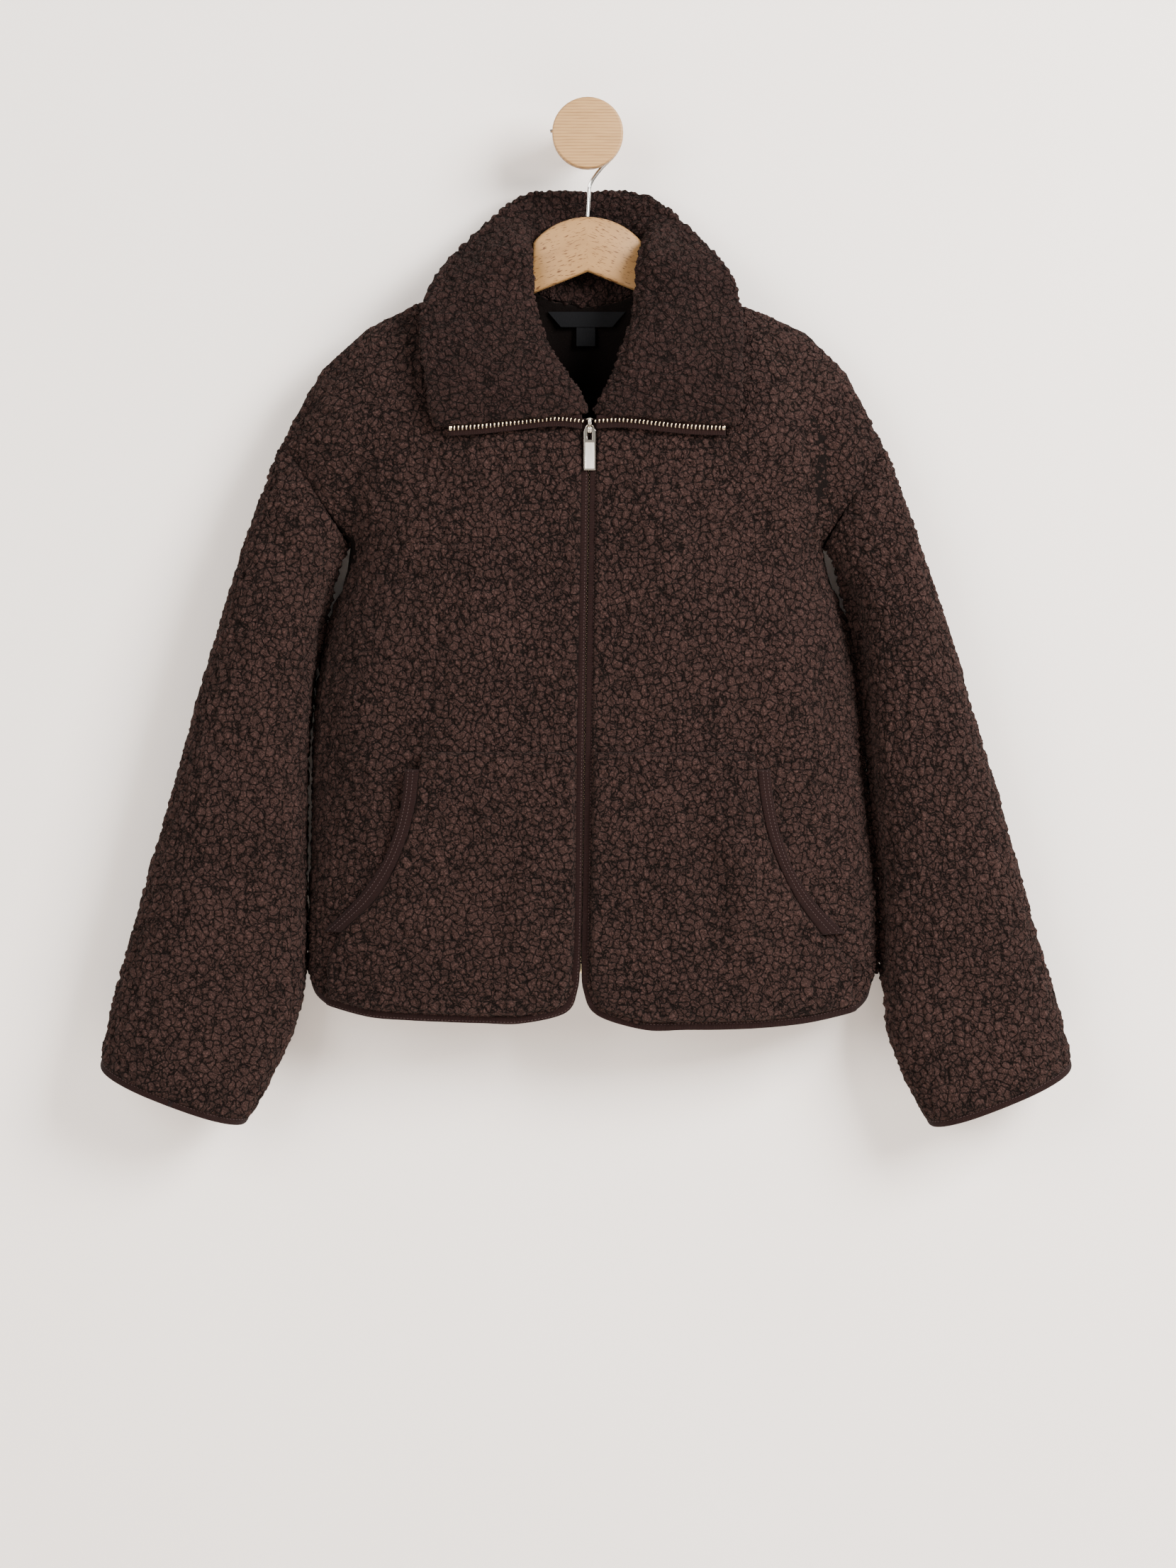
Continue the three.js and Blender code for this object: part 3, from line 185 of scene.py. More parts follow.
world.node_tree.nodes["Background"].inputs["Strength"].default_value = 0.38

# The two fronts are single panels of brown sherpa fleece: a knitted ground with a deep curly
# pile. Each is cut in one piece and hangs from the shoulder ridge to the hem.
FLEECE, PILE = 0.005, 0.005
BIG_CURL, SMALL_CURL, TUFT = 0.0072, 0.0045, 0.034
RIM_WIDE, SHRUNK_WIDE = 0.0035, 0.012
CREASE_GAIN = 1.6


def scatter(cells, seed):
    """Three repeatable numbers from 0 to 1 for each whole-numbered cell."""
    mixed = (cells[:, 0] * 73856093) ^ (cells[:, 1] * 19349663) ^ (cells[:, 2] * 83492791)
    mixed = (mixed + seed * 668265263) & 0xFFFFFFFF
    out = []
    for _ in range(3):
        mixed = (mixed ^ (mixed >> 15)) * 2246822519 & 0xFFFFFFFF
        mixed = (mixed ^ (mixed >> 13)) * 3266489917 & 0xFFFFFFFF
        mixed = mixed ^ (mixed >> 16)
        out.append((mixed & 0xFFFFFF) / 0xFFFFFF)
    return np.stack(out, 1)


def curls(points, size, seed):
    """Height of a pile of round curls of that size, from 0 between them to 1 on their tops."""
    grid = points / size
    cell = np.floor(grid).astype(np.int64)
    first = np.full(len(points), 9.0)
    second = first.copy()
    for step in np.ndindex(3, 3, 3):
        near = cell + np.array(step) - 1
        away = np.sqrt(((near + scatter(near, seed) - grid) ** 2).sum(1))
        second = np.minimum(second, np.maximum(first, away))
        first = np.minimum(first, away)
    return np.clip(1 - 1.2 * first ** 2, 0, 1) * np.clip((second - first) / 0.25, 0, 1) ** 0.5


def two_faces(node, thickness):
    """The outer and the inner face of a wall in the frame, without the strips between them."""
    wall = bmesh.new()
    wall.from_mesh(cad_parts[node].data)
    bmesh.ops.remove_doubles(wall, verts=wall.verts, dist=2e-5)
    between = {f for e in wall.edges if abs(e.calc_length() - thickness) < 1.5e-4
               for f in e.link_faces}
    groups = []
    seen = set(between)
    for first in wall.faces:
        if first in seen:
            continue
        seen.add(first)
        group, waiting = set(), [first]
        while waiting:
            face = waiting.pop()
            group.add(face)
            for edge in face.edges:
                for other in edge.link_faces:
                    if other not in seen:
                        seen.add(other)
                        waiting.append(other)
        groups.append(group)
    groups = sorted(groups, key=len)[-2:]
    for group in groups:
        added = True
        while added:
            added = [f for f in between - group
                     if sum(any(g in group for g in e.link_faces) for e in f.edges) > 1]
            group.update(added)
    groups.sort(key=lambda group: -sum(f.calc_area() for f in group))
    wall.faces.index_update()
    return wall, [sorted(group, key=lambda f: f.index) for group in groups]


def smooth_sheet(faces, levels):
    """One face of a wall as a fine smooth sheet, and the line its rim was cut to."""
    bm = bmesh.new()
    corners = {}
    for face in faces:
        for v in face.verts:
            if v not in corners:
                corners[v] = bm.verts.new(v.co)
        bm.faces.new([corners[v] for v in face.verts])
    bmesh.ops.join_triangles(bm, faces=bm.faces, angle_face_threshold=math.pi,
                             angle_shape_threshold=math.pi)
    mesh = bpy.data.meshes.new("sheet")
    rim = [v0 + (v1 - v0) * t / 12 for v0, v1 in
           ((e.verts[0].co.copy(), e.verts[1].co.copy()) for e in bm.edges if e.is_boundary)
           for t in range(12)]
    bm.to_mesh(mesh)
    bm.free()
    sheet = bpy.data.objects.new("sheet", mesh)
    bpy.context.scene.collection.objects.link(sheet)
    rounder = sheet.modifiers.new("round", "SUBSURF")
    rounder.levels = rounder.render_levels = levels
    rounder.boundary_smooth = "PRESERVE_CORNERS"
    bpy.context.view_layer.objects.active = sheet
    bpy.ops.object.modifier_apply(modifier=rounder.name)
    bpy.data.objects.remove(sheet)
    return mesh, rim


def places(mesh):
    points = np.zeros(len(mesh.vertices) * 3)
    mesh.vertices.foreach_get("co", points)
    return points.reshape(-1, 3)


def ways_out(mesh):
    ways = np.zeros(len(mesh.vertices) * 3, np.float32)
    mesh.vertex_normals.foreach_get("vector", ways)
    return ways.reshape(-1, 3).astype(float)


def nearest(points, others):
    """The number of the nearest of the other points, and how far it is, for each point."""
    tree = KDTree(len(others))
    for i, p in enumerate(others):
        tree.insert(p, i)
    tree.balance()
    found = [tree.find(p) for p in points]
    return np.array([f[1] for f in found]), np.array([f[2] for f in found])


def rim_reach(mesh, points, cut):
    """How far each point lies from the edge of its sheet, the way out over that edge, and
    how far the edge there has shrunk from the line it was cut to."""
    uses = np.zeros(len(mesh.edges), int)
    loops = np.zeros(len(mesh.loops), int)
    mesh.loops.foreach_get("edge_index", loops)
    np.add.at(uses, loops, 1)
    pairs = np.zeros(len(mesh.edges) * 2, int)
    mesh.edges.foreach_get("vertices", pairs)
    pairs = pairs.reshape(-1, 2)
    rim = np.unique(pairs[uses == 1])
    if not len(rim):
        return np.ones(len(points)), np.zeros_like(points), np.zeros_like(points)
    on_rim = np.zeros(len(points), bool)
    on_rim[rim] = True
    out = np.zeros_like(points)
    for near, far in ((pairs[:, 0], pairs[:, 1]), (pairs[:, 1], pairs[:, 0])):
        ends = on_rim[near] & ~on_rim[far]
        np.add.at(out, near[ends], points[near[ends]] - points[far[ends]])
    out /= np.maximum(np.linalg.norm(out, axis=1), 1e-9)[:, None]
    cut = np.array(cut)
    shrunk = cut[nearest(points[rim], cut)[0]] - points[rim]
    mate, distance = nearest(points, points[rim])
    return distance, out[rim[mate]], shrunk[mate]


def creased(points, creases):
    """Depth of the soft troughs at each point. A crease is its two ends, x and z, then its
    depth and its width, all in mm. A trough of less than nothing is a ridge."""
    depth = np.zeros(len(points))
    for x0, z0, x1, z1, deep, wide in creases:
        line = np.array([x1 - x0, z1 - z0]) / 1000
        rel = points[:, [0, 2]] - np.array([x0, z0]) / 1000
        along = np.clip(rel @ line / (line @ line), 0, 1)
        waver = 0.25 * wide * np.sin(along * 9 + x0)
        side = np.array([-line[1], line[0]]) / np.linalg.norm(line)
        off = (rel - along[:, None] * line) @ side * 1000 - waver
        end = np.linalg.norm(rel - along[:, None] * line, axis=1) * 1000
        fall = np.where((along <= 0) | (along >= 1), end, off) / wide
        swell = np.sin(math.pi * np.clip(along, 0.08, 0.92))
        depth += CREASE_GAIN * deep / 1000 * swell * np.exp(-fall ** 2)
    return depth


def raise_pile(mesh, height, seed, creases=(), cut=(), bound=(), rim_fall=0.0004):
    """Lifts the curls out of a sheet and notes how high each point stands in the pile, lower
    towards the rim, for the fleece's painted shade and painted highlight. The rim reaches into
    a binding where one covers it: x0, x1, z0, z1 and how far, in mm."""
    points, ways = places(mesh), ways_out(mesh)
    distance, out, shrunk = rim_reach(mesh, points, cut)
    edge = np.clip(distance / RIM_WIDE, 0, 1)
    big = curls(points, BIG_CURL, seed)
    small = curls(points + 0.3, SMALL_CURL, seed + 5)
    tuft = curls(points + 0.7, TUFT, seed + 9)
    pile = np.clip(0.55 * big + 0.33 * small + 0.12 * tuft, 0, 1)
    lift = height * (pile - 0.22) * (0.4 + 0.6 * edge) - rim_fall * (1 - edge) ** 2
    lift -= creased(points, creases)
    push = np.full(len(points), 0.0002)
    for x0, x1, z0, z1, far in bound:
        inside = ((points[:, [0, 2]] * 1000 > (x0, z0)) & (points[:, [0, 2]] * 1000 < (x1, z1)))
        push[inside.all(1)] = far / 1000
    moved = (points + ways * lift[:, None] + out * (push * (1 - edge))[:, None]
             + shrunk * (np.clip(1 - distance / SHRUNK_WIDE, 0, 1) ** 2)[:, None])
    mesh.vertices.foreach_set("co", moved.astype(np.float32).ravel())
    # This note is painted shade and highlight: the fleece colour darkens with it low in the pile
    # and along the rim, and pales on the tops.
    note = mesh.attributes.new("pile", "FLOAT", "POINT")
    note.data.foreach_set("value", (pile * (0.6 + 0.4 * edge)).astype(np.float32))
    mesh.update()


def rim_loops(bm):
    """The closed chains of edges round a sheet's openings."""
    left = dict.fromkeys(e for e in bm.edges if e.is_boundary)
    loops = []
    while left:
        loop, waiting = [], [next(iter(left))]
        while waiting:
            edge = waiting.pop()
            if edge not in left:
                continue
            del left[edge]
            loop.append(edge)
            waiting.extend(e for v in edge.verts for e in v.link_edges if e in left)
        loops.append(loop)
    return loops


def middle_of(loop):
    return sum((v.co for e in loop for v in e.verts), Vector()) / (2 * len(loop))


def closed_wall(name, outside, inside):
    """The two sheets of a wall sewn together round their rims."""
    bm = bmesh.new()
    bm.from_mesh(outside)
    outer = rim_loops(bm)
    kept = set(bm.edges)
    bm.from_mesh(inside)
    inner = [loop for loop in rim_loops(bm) if loop[0] not in kept]
    for face in bm.faces:
        if face.edges[0] not in kept:
            face.material_index = 1
    for loop in outer:
        mate = min(inner, key=lambda other: (middle_of(other) - middle_of(loop)).length)
        bmesh.ops.bridge_loops(bm, edges=loop + mate)
    mesh = bpy.data.meshes.new(name)
    bm.to_mesh(mesh)
    bm.free()
    piece = bpy.data.objects.new(name, mesh)
    bpy.context.scene.collection.objects.link(piece)
    mesh.polygons.foreach_set("use_smooth", np.ones(len(mesh.polygons), bool))
    return piece


def brown_fleece(name, light):
    """Matte brown pile: clumps and small curls, with painted shade in the thin crevices between
    them and low in the pile, and a painted highlight on their tops.
    """
    cloth = Finish(name, roughness=0.95, sheen_weight=0.06, sheen_roughness=0.5,
                   sheen_tint=colour(150, 128, 120), specular_ior_level=0.08)
    pile = cloth.node("ShaderNodeAttribute", {"attribute_name": "pile"}, {}, "Fac")
    twist = cloth.node("ShaderNodeTexNoise", {}, {
        "Vector": cloth.place(), "Scale": 120, "Detail": 2.0}, "Color")
    where = cloth.node("ShaderNodeVectorMath", {"operation": "MULTIPLY_ADD"}, {
        0: twist, 1: (0.006, 0.006, 0.006), 2: cloth.place()})
    cells = []
    for scale, steep in ((140, 7.0), (330, 3.2)):
        edge = cloth.node("ShaderNodeTexVoronoi", {"feature": "DISTANCE_TO_EDGE"}, {
            "Vector": where, "Scale": scale}, "Distance")
        cells.append(cloth.node("ShaderNodeClamp", {}, {"Value": edge * steep}))
    clump, curl = cells
    fuzz = cloth.noise(900, 2, 0.65)
    patches = cloth.noise(14, 3, 0.55)
    # Painted shade and highlight: near black in the crevices and low in the pile, pale on the
    # tops. The fuzz and patches are the cloth's own uneven tone.
    share = (clump * 0.42 + curl * 0.3 + pile * 0.34 + (fuzz - 0.5) * 0.7
             + (patches - 0.5) * 0.2 - 0.36)
    cloth.set(base_color=cloth.between(share, colour(8, 4, 3), colour(*light)),
              normal=cloth.bump(clump * 0.7 + curl * 0.5 + fuzz * 0.35, 0.0016))
    return cloth.material


def ground_painted_shade():
    """The back of the fleece: a flat knit, painted nearly black for the shade inside the jacket.
    """
    knit = Finish("dark_ground_knit", roughness=0.95, specular_ior_level=0.05)
    loops = knit.noise(800, 2, 0.5)
    knit.set(base_color=knit.between(loops, colour(8, 6, 5), colour(18, 13, 12)),
             normal=knit.bump(loops, 0.0005))
    return knit.material


SHERPA = brown_fleece("brown_sherpa", (72, 52, 48))
GROUND_PAINTED_SHADE = ground_painted_shade()


def tucked(points, tuck):
    """Fills out a piece behind its side, where body and sleeve hang against each other.
    A tuck is the x it starts from, the x where it is full, and its depth at some places
    below the knob, all in mm."""
    if tuck:
        start, full, depths = tuck
        share = np.clip((points[:, 0] * 1000 - start) / (full - start), 0, 1)
        behind = np.clip((points[:, 1] * 1000 + 49) / 11, 0, 1)
        deep = np.interp(-points[:, 2] * 1000, [d[0] for d in depths], [d[1] for d in depths])
        way = 1 if abs(full) > abs(start) else -1
        points[:, 0] += (way * np.sign(full) * deep / 1000 * share ** 2 * (3 - 2 * share)
                         * behind ** 2 * (3 - 2 * behind))
    return points


TUCK_LEFT = [(385, 0), (402, 4.5), (430, 9.5), (455, 9), (480, 6.5), (510, 4.5), (560, 3),
             (700, 3.2), (760, 4.5), (785, 3.5), (802, 0)]
TUCK_RIGHT = [(385, 0), (402, 7.5), (430, 13), (455, 13.4), (480, 12.6), (510, 10.6), (560, 9.6),
              (700, 9.4), (760, 10), (785, 7.5), (802, 0)]


def fleece_piece(name, node, thickness, fine, coarse, height, seed,
                 creases=(), tucks=(), bound=(), rim_fall=0.0004):
    wall, (outer, inner) = two_faces(node, thickness)
    (outside, cut), (inside, inner_cut) = smooth_sheet(outer, fine), smooth_sheet(inner, coarse)
    wall.free()
    raise_pile(outside, height, seed, creases, cut, bound, rim_fall)
    raise_pile(inside, height * 0.25, seed + 3, (), inner_cut, bound, 0.0)
    for face in (outside, inside):
        points = places(face)
        for tuck in tucks:
            points = tucked(points, tuck)
        face.vertices.foreach_set("co", points.astype(np.float32).ravel())
    piece = closed_wall(name, outside, inside)
    piece.data.materials.append(SHERPA)
    # The inner faces take the painted shade of the jacket's inside.
    piece.data.materials.append(GROUND_PAINTED_SHADE)
    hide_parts(node)
    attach(piece, "jacket")
    return piece


FRONT_CREASES = {
    "left": [(-200, -262, -238, -440, 4.0, 17), (-150, -430, -172, -780, 2.6, 22),
             (-92, -330, -112, -560, -2.6, 26), (-40, -320, -46, -560, 1.6, 16),
             (-206, -470, -214, -640, -2.4, 20), (-70, -590, -60, -800, 1.6, 20)],
    "right": [(205, -216, 226, -400, 4.6, 18), (66, -335, 82, -420, -2.2, 12),
              (112, -600, 128, -770, 2.4, 16), (180, -434, 205, -619, -3.2, 22),
              (150, -300, 160, -470, 2.2, 24), (40, -470, 52, -700, 1.8, 20)]}
BODY_TUCKS = [(-205, -240, TUCK_LEFT), (205, 238, TUCK_RIGHT)]
for side, seed in (("left", 11), ("right", 12)):
    fleece_piece(f"fleece_front_{side}", f"front_{side}", FLEECE, 4, 2, PILE, seed,
                 FRONT_CREASES[side], BODY_TUCKS,
                 [(-262, 270, -850, -768, 1.6), (-40, 40, -785, -272, 1.6),
                  (-50, 52, -822, -785, 4.2)])

# The patch pockets are cut from the same fleece and sewn on the fronts, from the zip's
# binding to the curved mouth near the side seam. Their top edge is a plain seam.
POCKET = 0.0047
POCKET_CREASES = {
    "left": [(-45, -640, -66, -768, -2.6, 14), (-120, -600, -112, -740, 1.8, 18)],
    "right": [(129, -619, 152, -758, -3.0, 14), (104, -625, 122, -770, 2.4, 12),
              (48, -600, 54, -740, 1.6, 16)]}
for side, seed in (("left", 21), ("right", 22)):
    fleece_piece(f"fleece_pocket_{side}", f"pocket_{side}", POCKET, 4, 2, PILE, seed,
                 POCKET_CREASES[side],
                 rim_fall=0.0026)

# The back is one panel of the fleece, from side seam to side seam and up to the back
# neck. It hangs in soft folds from the hanger's shoulders, sewn to the fronts and sleeves.
BACK_CREASES = [(-118, -240, -150, -700, 3.2, 30), (112, -240, 140, -720, 3.2, 30),
                (-10, -300, -6, -760, 2.2, 34), (-200, -300, -225, -470, 3.4, 18),
                (200, -280, 222, -460, 3.4, 18), (-60, -420, -80, -740, -2.2, 26),
                (62, -400, 78, -730, -2.2, 26)]
fleece_piece("fleece_back", "back", FLEECE, 3, 2, PILE, 31,
             BACK_CREASES, BODY_TUCKS, [(-262, 270, -800, -768, 1.6), (-84, 84, -190, -120, 1.6)])

# Each sleeve is one piece of the fleece, sewn to a tube under the arm and set into the
# dropped armhole. It hangs flat, with short slanting creases at the elbow and the cuff.
SLEEVE_CREASES = {
    "left": [(-300, -330, -262, -440, 2.6, 14), (-372, -540, -300, -600, 2.2, 15),
             (-400, -650, -300, -704, 2.2, 16), (-330, -440, -392, -760, -1.8, 26),
             (-300, -760, -360, -800, 1.8, 14)],
    "right": [(292, -330, 256, -440, 2.6, 14), (360, -520, 292, -574, 2.2, 15),
              (388, -640, 300, -690, 2.2, 16), (322, -440, 384, -760, -1.8, 26),
              (300, -770, 372, -806, 1.8, 14)]}
for side, seed, tucks in (("left", 41, [(-320, -275, TUCK_LEFT)]),
                          ("right", 42, [(325, 285, TUCK_RIGHT)])):
    fleece_piece(f"fleece_sleeve_{side}", f"sleeve_{side}", FLEECE, 4, 2, PILE, seed,
                 SLEEVE_CREASES[side], tucks, [(-460, 460, -950, -846, 1.6)])


# The collar is one deep band of two layers of fleece, with a soft rounded edge. Both of
# its faces show: the one turned to the neck is the upper face of the two flaps.
COLLAR_CREASES = [(-128, -150, -85, -205, 2.2, 12), (-60, -90, -78, -170, -1.8, 14),
                  (120, -140, 92, -200, 2.0, 12), (64, -96, 84, -180, -1.8, 14)]


def collar_band():
    bm = bmesh.new()
    bm.from_mesh(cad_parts["collar"].data)
    bmesh.ops.remove_doubles(bm, verts=bm.verts, dist=2e-5)
    bmesh.ops.join_triangles(bm, faces=bm.faces, angle_face_threshold=math.pi,
                             angle_shape_threshold=math.pi)
    crease = bm.edges.layers.float.new("crease_edge")
    for edge in bm.edges:
        if edge.calc_face_angle(0) > math.radians(55):
            edge[crease] = 0.55
    mesh = bpy.data.meshes.new("fleece_collar")
    bm.to_mesh(mesh)
    bm.free()
    piece = bpy.data.objects.new("fleece_collar", mesh)
    bpy.context.scene.collection.objects.link(piece)
    rounder = piece.modifiers.new("round", "SUBSURF")
    rounder.levels = rounder.render_levels = 3
    bpy.context.view_layer.objects.active = piece
    bpy.ops.object.modifier_apply(modifier=rounder.name)
    raise_pile(mesh, 0.0052, 51, COLLAR_CREASES)
    mesh.polygons.foreach_set("use_smooth", np.ones(len(mesh.polygons), bool))
    # The collar takes a darker copy of the fleece: painted shade.
    mesh.materials.append(brown_fleece("brown_sherpa_collar", (60, 42, 39)))
    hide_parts("collar")
    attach(piece, "jacket")
    return piece


collar_band()

# Narrow knit bindings cover the raw edges: the zip and hem edges, the cuffs and the pocket
# mouths. They are a fine brown rib, folded over the edge and stitched down. The zip's open
# halves have tapes of the same rib.
RIB, STITCH = 0.00095, 0.0032
SECTION, SQUARENESS = 16, 0.55


def knit():
    """Fine ribs across a strip, by each point's way along it, with a little wool between. The
    colour is darker in the grooves between the ribs: painted shade.
    """
    cloth = Finish("brown_rib_knit", roughness=0.92, sheen_weight=0.02, sheen_roughness=0.5,
                   specular_ior_level=0.08)
    along = cloth.node("ShaderNodeAttribute", {"attribute_name": "along"}, {}, "Fac")
    wave = cloth.node("ShaderNodeMath", {"operation": "SINE"}, {0: along * (2 * math.pi / RIB)})
    wool = cloth.noise(1100, 2, 0.6)
    # The rib wave in the colour is painted shade in the grooves. The wool noise is the yarn's own
    # uneven tone.
    height = wave * 0.3 + wool * 0.6 + 0.2
    cloth.set(base_color=cloth.between(height, colour(12, 6, 6), colour(37, 21, 19)),
              normal=cloth.bump(height, 0.0006))
    return cloth.material


KNIT = knit()


def nearest_order(before, ring):
    """The corners of a ring in the order of the ring before it."""
    moved = ring - ring.mean(0) + before.mean(0)
    order = min(itertools.permutations(range(4)),
                key=lambda o: np.linalg.norm(moved[list(o)] - before, axis=1).sum())
    return ring[list(order)]


def round_order(ring):
    """The corners of a flat ring in order round its middle."""
    rel = ring - ring.mean(0)
    _, _, axes = np.linalg.svd(rel)
    angle = np.arctan2(rel @ axes[1], rel @ axes[0])
    return ring[np.argsort(angle)]


def strip_rings(node, end=None):
    """The four-cornered sections of a strip in the frame, from the end nearest to a point.
    With no end, the strip is closed."""
    bm = bmesh.new()
    bm.from_mesh(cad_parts[node].data)
    bmesh.ops.remove_doubles(bm, verts=bm.verts, dist=2e-5)
    if end is None:
        points = np.array([v.co for v in bm.verts])
        rel = points - points.mean(0)
        _, _, axes = np.linalg.svd(rel, full_matrices=False)
        angle = np.arctan2(rel @ axes[1], rel @ axes[0])
        order = np.argsort(angle)
        gaps = np.diff(np.append(angle[order], angle[order[0]] + 2 * math.pi))
        points = points[np.roll(order, -int(np.argmax(gaps)) - 1)]
        rings = [points[i:i + 4] for i in range(0, len(points), 4)]
    else:
        end = Vector(end) / 1000
        bm.verts.index_update()
        ring = sorted(bm.verts, key=lambda v: (v.co - end).length)[:4]
        rings, seen = [], set(ring)
        while ring:
            rings.append(np.array([v.co for v in ring]))
            ring = sorted({e.other_vert(v) for v in ring for e in v.link_edges} - seen,
                          key=lambda v: v.index)
            seen.update(ring)
    bm.free()
    rings[0] = round_order(rings[0])
    for i in range(1, len(rings)):
        rings[i] = nearest_order(rings[i - 1], rings[i])
    return np.array(rings)


def eased(rings, step, closed):
    """The rings with smooth ones between them, about a step apart."""
    count = len(rings)
    out = []
    for i in range(count if closed else count - 1):
        pick = [rings[(i + k) % count] if closed else rings[min(max(i + k, 0), count - 1)]
                for k in (-1, 0, 1, 2)]
        length = np.linalg.norm(pick[2].mean(0) - pick[1].mean(0))
        parts = max(1, round(length / step))
        for t in np.arange(parts) / parts:
            out.append(0.5 * (2 * pick[1] + (pick[2] - pick[0]) * t
                              + (2 * pick[0] - 5 * pick[1] + 4 * pick[2] - pick[3]) * t ** 2
                              + (3 * pick[1] - pick[0] - 3 * pick[2] + pick[3]) * t ** 3))
    if not closed:
        out.append(rings[-1])
    return np.array(out)


def halves(rings):
    """The middles of rings, and the half of their wide and of their narrow sides."""
    middle = rings.mean(1)
    one = (rings[:, 1] + rings[:, 2] - rings[:, 0] - rings[:, 3]) / 4
    other = (rings[:, 2] + rings[:, 3] - rings[:, 0] - rings[:, 1]) / 4
    if np.linalg.norm(one) < np.linalg.norm(other):
        one, other = other, one
    return middle, one, other


def way_along(middle):
    steps = np.linalg.norm(np.diff(middle, axis=0), axis=1)
    return np.concatenate([[0], np.cumsum(steps)])


def round_strip(name, rings, closed, fuller):
    """A soft rounded strip of rib through flat four-cornered rings."""
    middle, wide, narrow = halves(rings)
    along = way_along(middle)
    turn = np.arange(SECTION) / SECTION * 2 * math.pi
    shape = [np.sign(f) * np.abs(f) ** SQUARENESS for f in (np.cos(turn), np.sin(turn))]
    points = (middle[:, None] + wide[:, None] * (shape[0] * fuller)[None, :, None]
              + narrow[:, None] * shape[1][None, :, None])
    count = len(rings)
    faces = [(i * SECTION + k, i * SECTION + (k + 1) % SECTION,
              (i + 1) % count * SECTION + (k + 1) % SECTION, (i + 1) % count * SECTION + k)
             for i in range(count if closed else count - 1) for k in range(SECTION)]
    if not closed:
        faces += [tuple(range(SECTION)), tuple(range((count - 1) * SECTION, count * SECTION))]
    mesh = bpy.data.meshes.new(name)
    mesh.from_pydata(points.reshape(-1, 3).tolist(), [], faces)
    note = mesh.attributes.new("along", "FLOAT", "POINT")
    note.data.foreach_set("value", np.repeat(along, SECTION).astype(np.float32))
    bm = bmesh.new()
    bm.from_mesh(mesh)
    bmesh.ops.recalc_face_normals(bm, faces=bm.faces)
    bm.to_mesh(mesh)
    bm.free()
    mesh.polygons.foreach_set("use_smooth", np.ones(len(mesh.polygons), bool))
    mesh.materials.append(KNIT)
    piece = bpy.data.objects.new(name, mesh)
    bpy.context.scene.collection.objects.link(piece)
    return piece


def knit_strip(name, node, end=None, fuller=1.0):
    """The rib strip in the space of a strip of the frame."""
    closed = end is None
    piece = round_strip(name, eased(strip_rings(node, end), 0.004, closed), closed, fuller)
    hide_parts(node)
    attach(piece, "jacket")
    return piece


def copies(name, model, frames, material):
    """One mesh of many copies of a small model, each turned and moved by its own frame."""
    points = places(model)
    corners = [tuple(p.vertices) for p in model.polygons]
    moved, faces = [], []
    for i, (place, axes, size) in enumerate(frames):
        moved.append(place + (points * size) @ axes)
        faces += [tuple(v + i * len(points) for v in face) for face in corners]
    mesh = bpy.data.meshes.new(name)
    mesh.from_pydata(np.concatenate(moved).tolist(), [], faces)
    mesh.polygons.foreach_set("use_smooth", np.ones(len(mesh.polygons), bool))
    mesh.materials.append(material)
    piece = bpy.data.objects.new(name, mesh)
    bpy.context.scene.collection.objects.link(piece)
    return piece


def along_strip(node, end, pitch, at_wide, at_narrow, away_from):
    """Frames at even steps along a strip: the place and the ways along, out and across."""
    rings = eased(strip_rings(node, end), 0.001, end is None)
    middle, wide, narrow = halves(rings)
    out_way = middle - np.array(away_from) / 1000 if away_from else np.array([[0, -1.0, 0]])
    narrow = narrow * np.sign((narrow * out_way).sum(1))[:, None]
    line = middle + wide * at_wide + narrow * at_narrow
    along = way_along(line)
    frames = []
    for s in np.arange(pitch / 2, along[-1], pitch):
        i = min(int(np.searchsorted(along, s)), len(line) - 2)
        forward = line[i + 1] - line[i - 1 if i else 0]
        forward = forward / np.linalg.norm(forward)
        up = wide[i] - forward * (wide[i] @ forward)
        up = up / np.linalg.norm(up)
        out = np.cross(forward, up)
        if out @ narrow[i] < 0:
            up, out = -up, -out
        place = np.array([np.interp(s, along, line[:, axis]) for axis in range(3)])
        frames.append((place, np.array([forward, out, up]), s / along[-1]))
    return frames


def small_model():
    """The mesh of the object just made, taken out of the scene to be copied."""
    bpy.ops.object.transform_apply(location=True, rotation=True, scale=True)
    model = bpy.context.object.data
    bpy.data.objects.remove(bpy.context.object)
    return model


bpy.ops.mesh.primitive_uv_sphere_add(segments=6, ring_count=4, radius=1)
bpy.context.object.scale = (0.0011, 0.00026, 0.0003)
STITCH_MODEL = small_model()
thread = Finish("brown_thread", roughness=0.7, base_color=colour(46, 26, 23))
for node, end, fuller, rows, away_from in (
        ("front_binding_left", (0, -101, -267), 1.2, (-0.6,), None),
        ("front_binding_right", (3, -101, -267), 1.2, (0.6,), None),
        ("back_binding", (-256, -46, -783), 1.08, (0.6,), (0, -200, -780)),
        ("cuff_binding_left", None, 1.08, (0.55,), (-384, -54, -886)),
        ("cuff_binding_right", None, 1.08, (0.55,), (382, -54, -888)),
        ("pocket_binding_left", (-160, -110, -590), 1.0, (-0.2, 0.45), None),
        ("pocket_binding_right", (160, -110, -590), 1.0, (-0.2, 0.45), None),
        ("zip_tape_left", (-128, -108, -278), 1.0, (), None),
        ("zip_tape_right", (127, -108, -278), 1.0, (), None)):
    knit_strip("rib_" + node, node, end, fuller)
    for row in rows:
        stitches = copies(f"stitches_{node}_{rows.index(row)}", STITCH_MODEL, [
            (place, axes, 1.0) for place, axes, _ in
            along_strip(node, end, STITCH, row, 0.97, away_from)], thread.material)
        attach(stitches, "jacket")

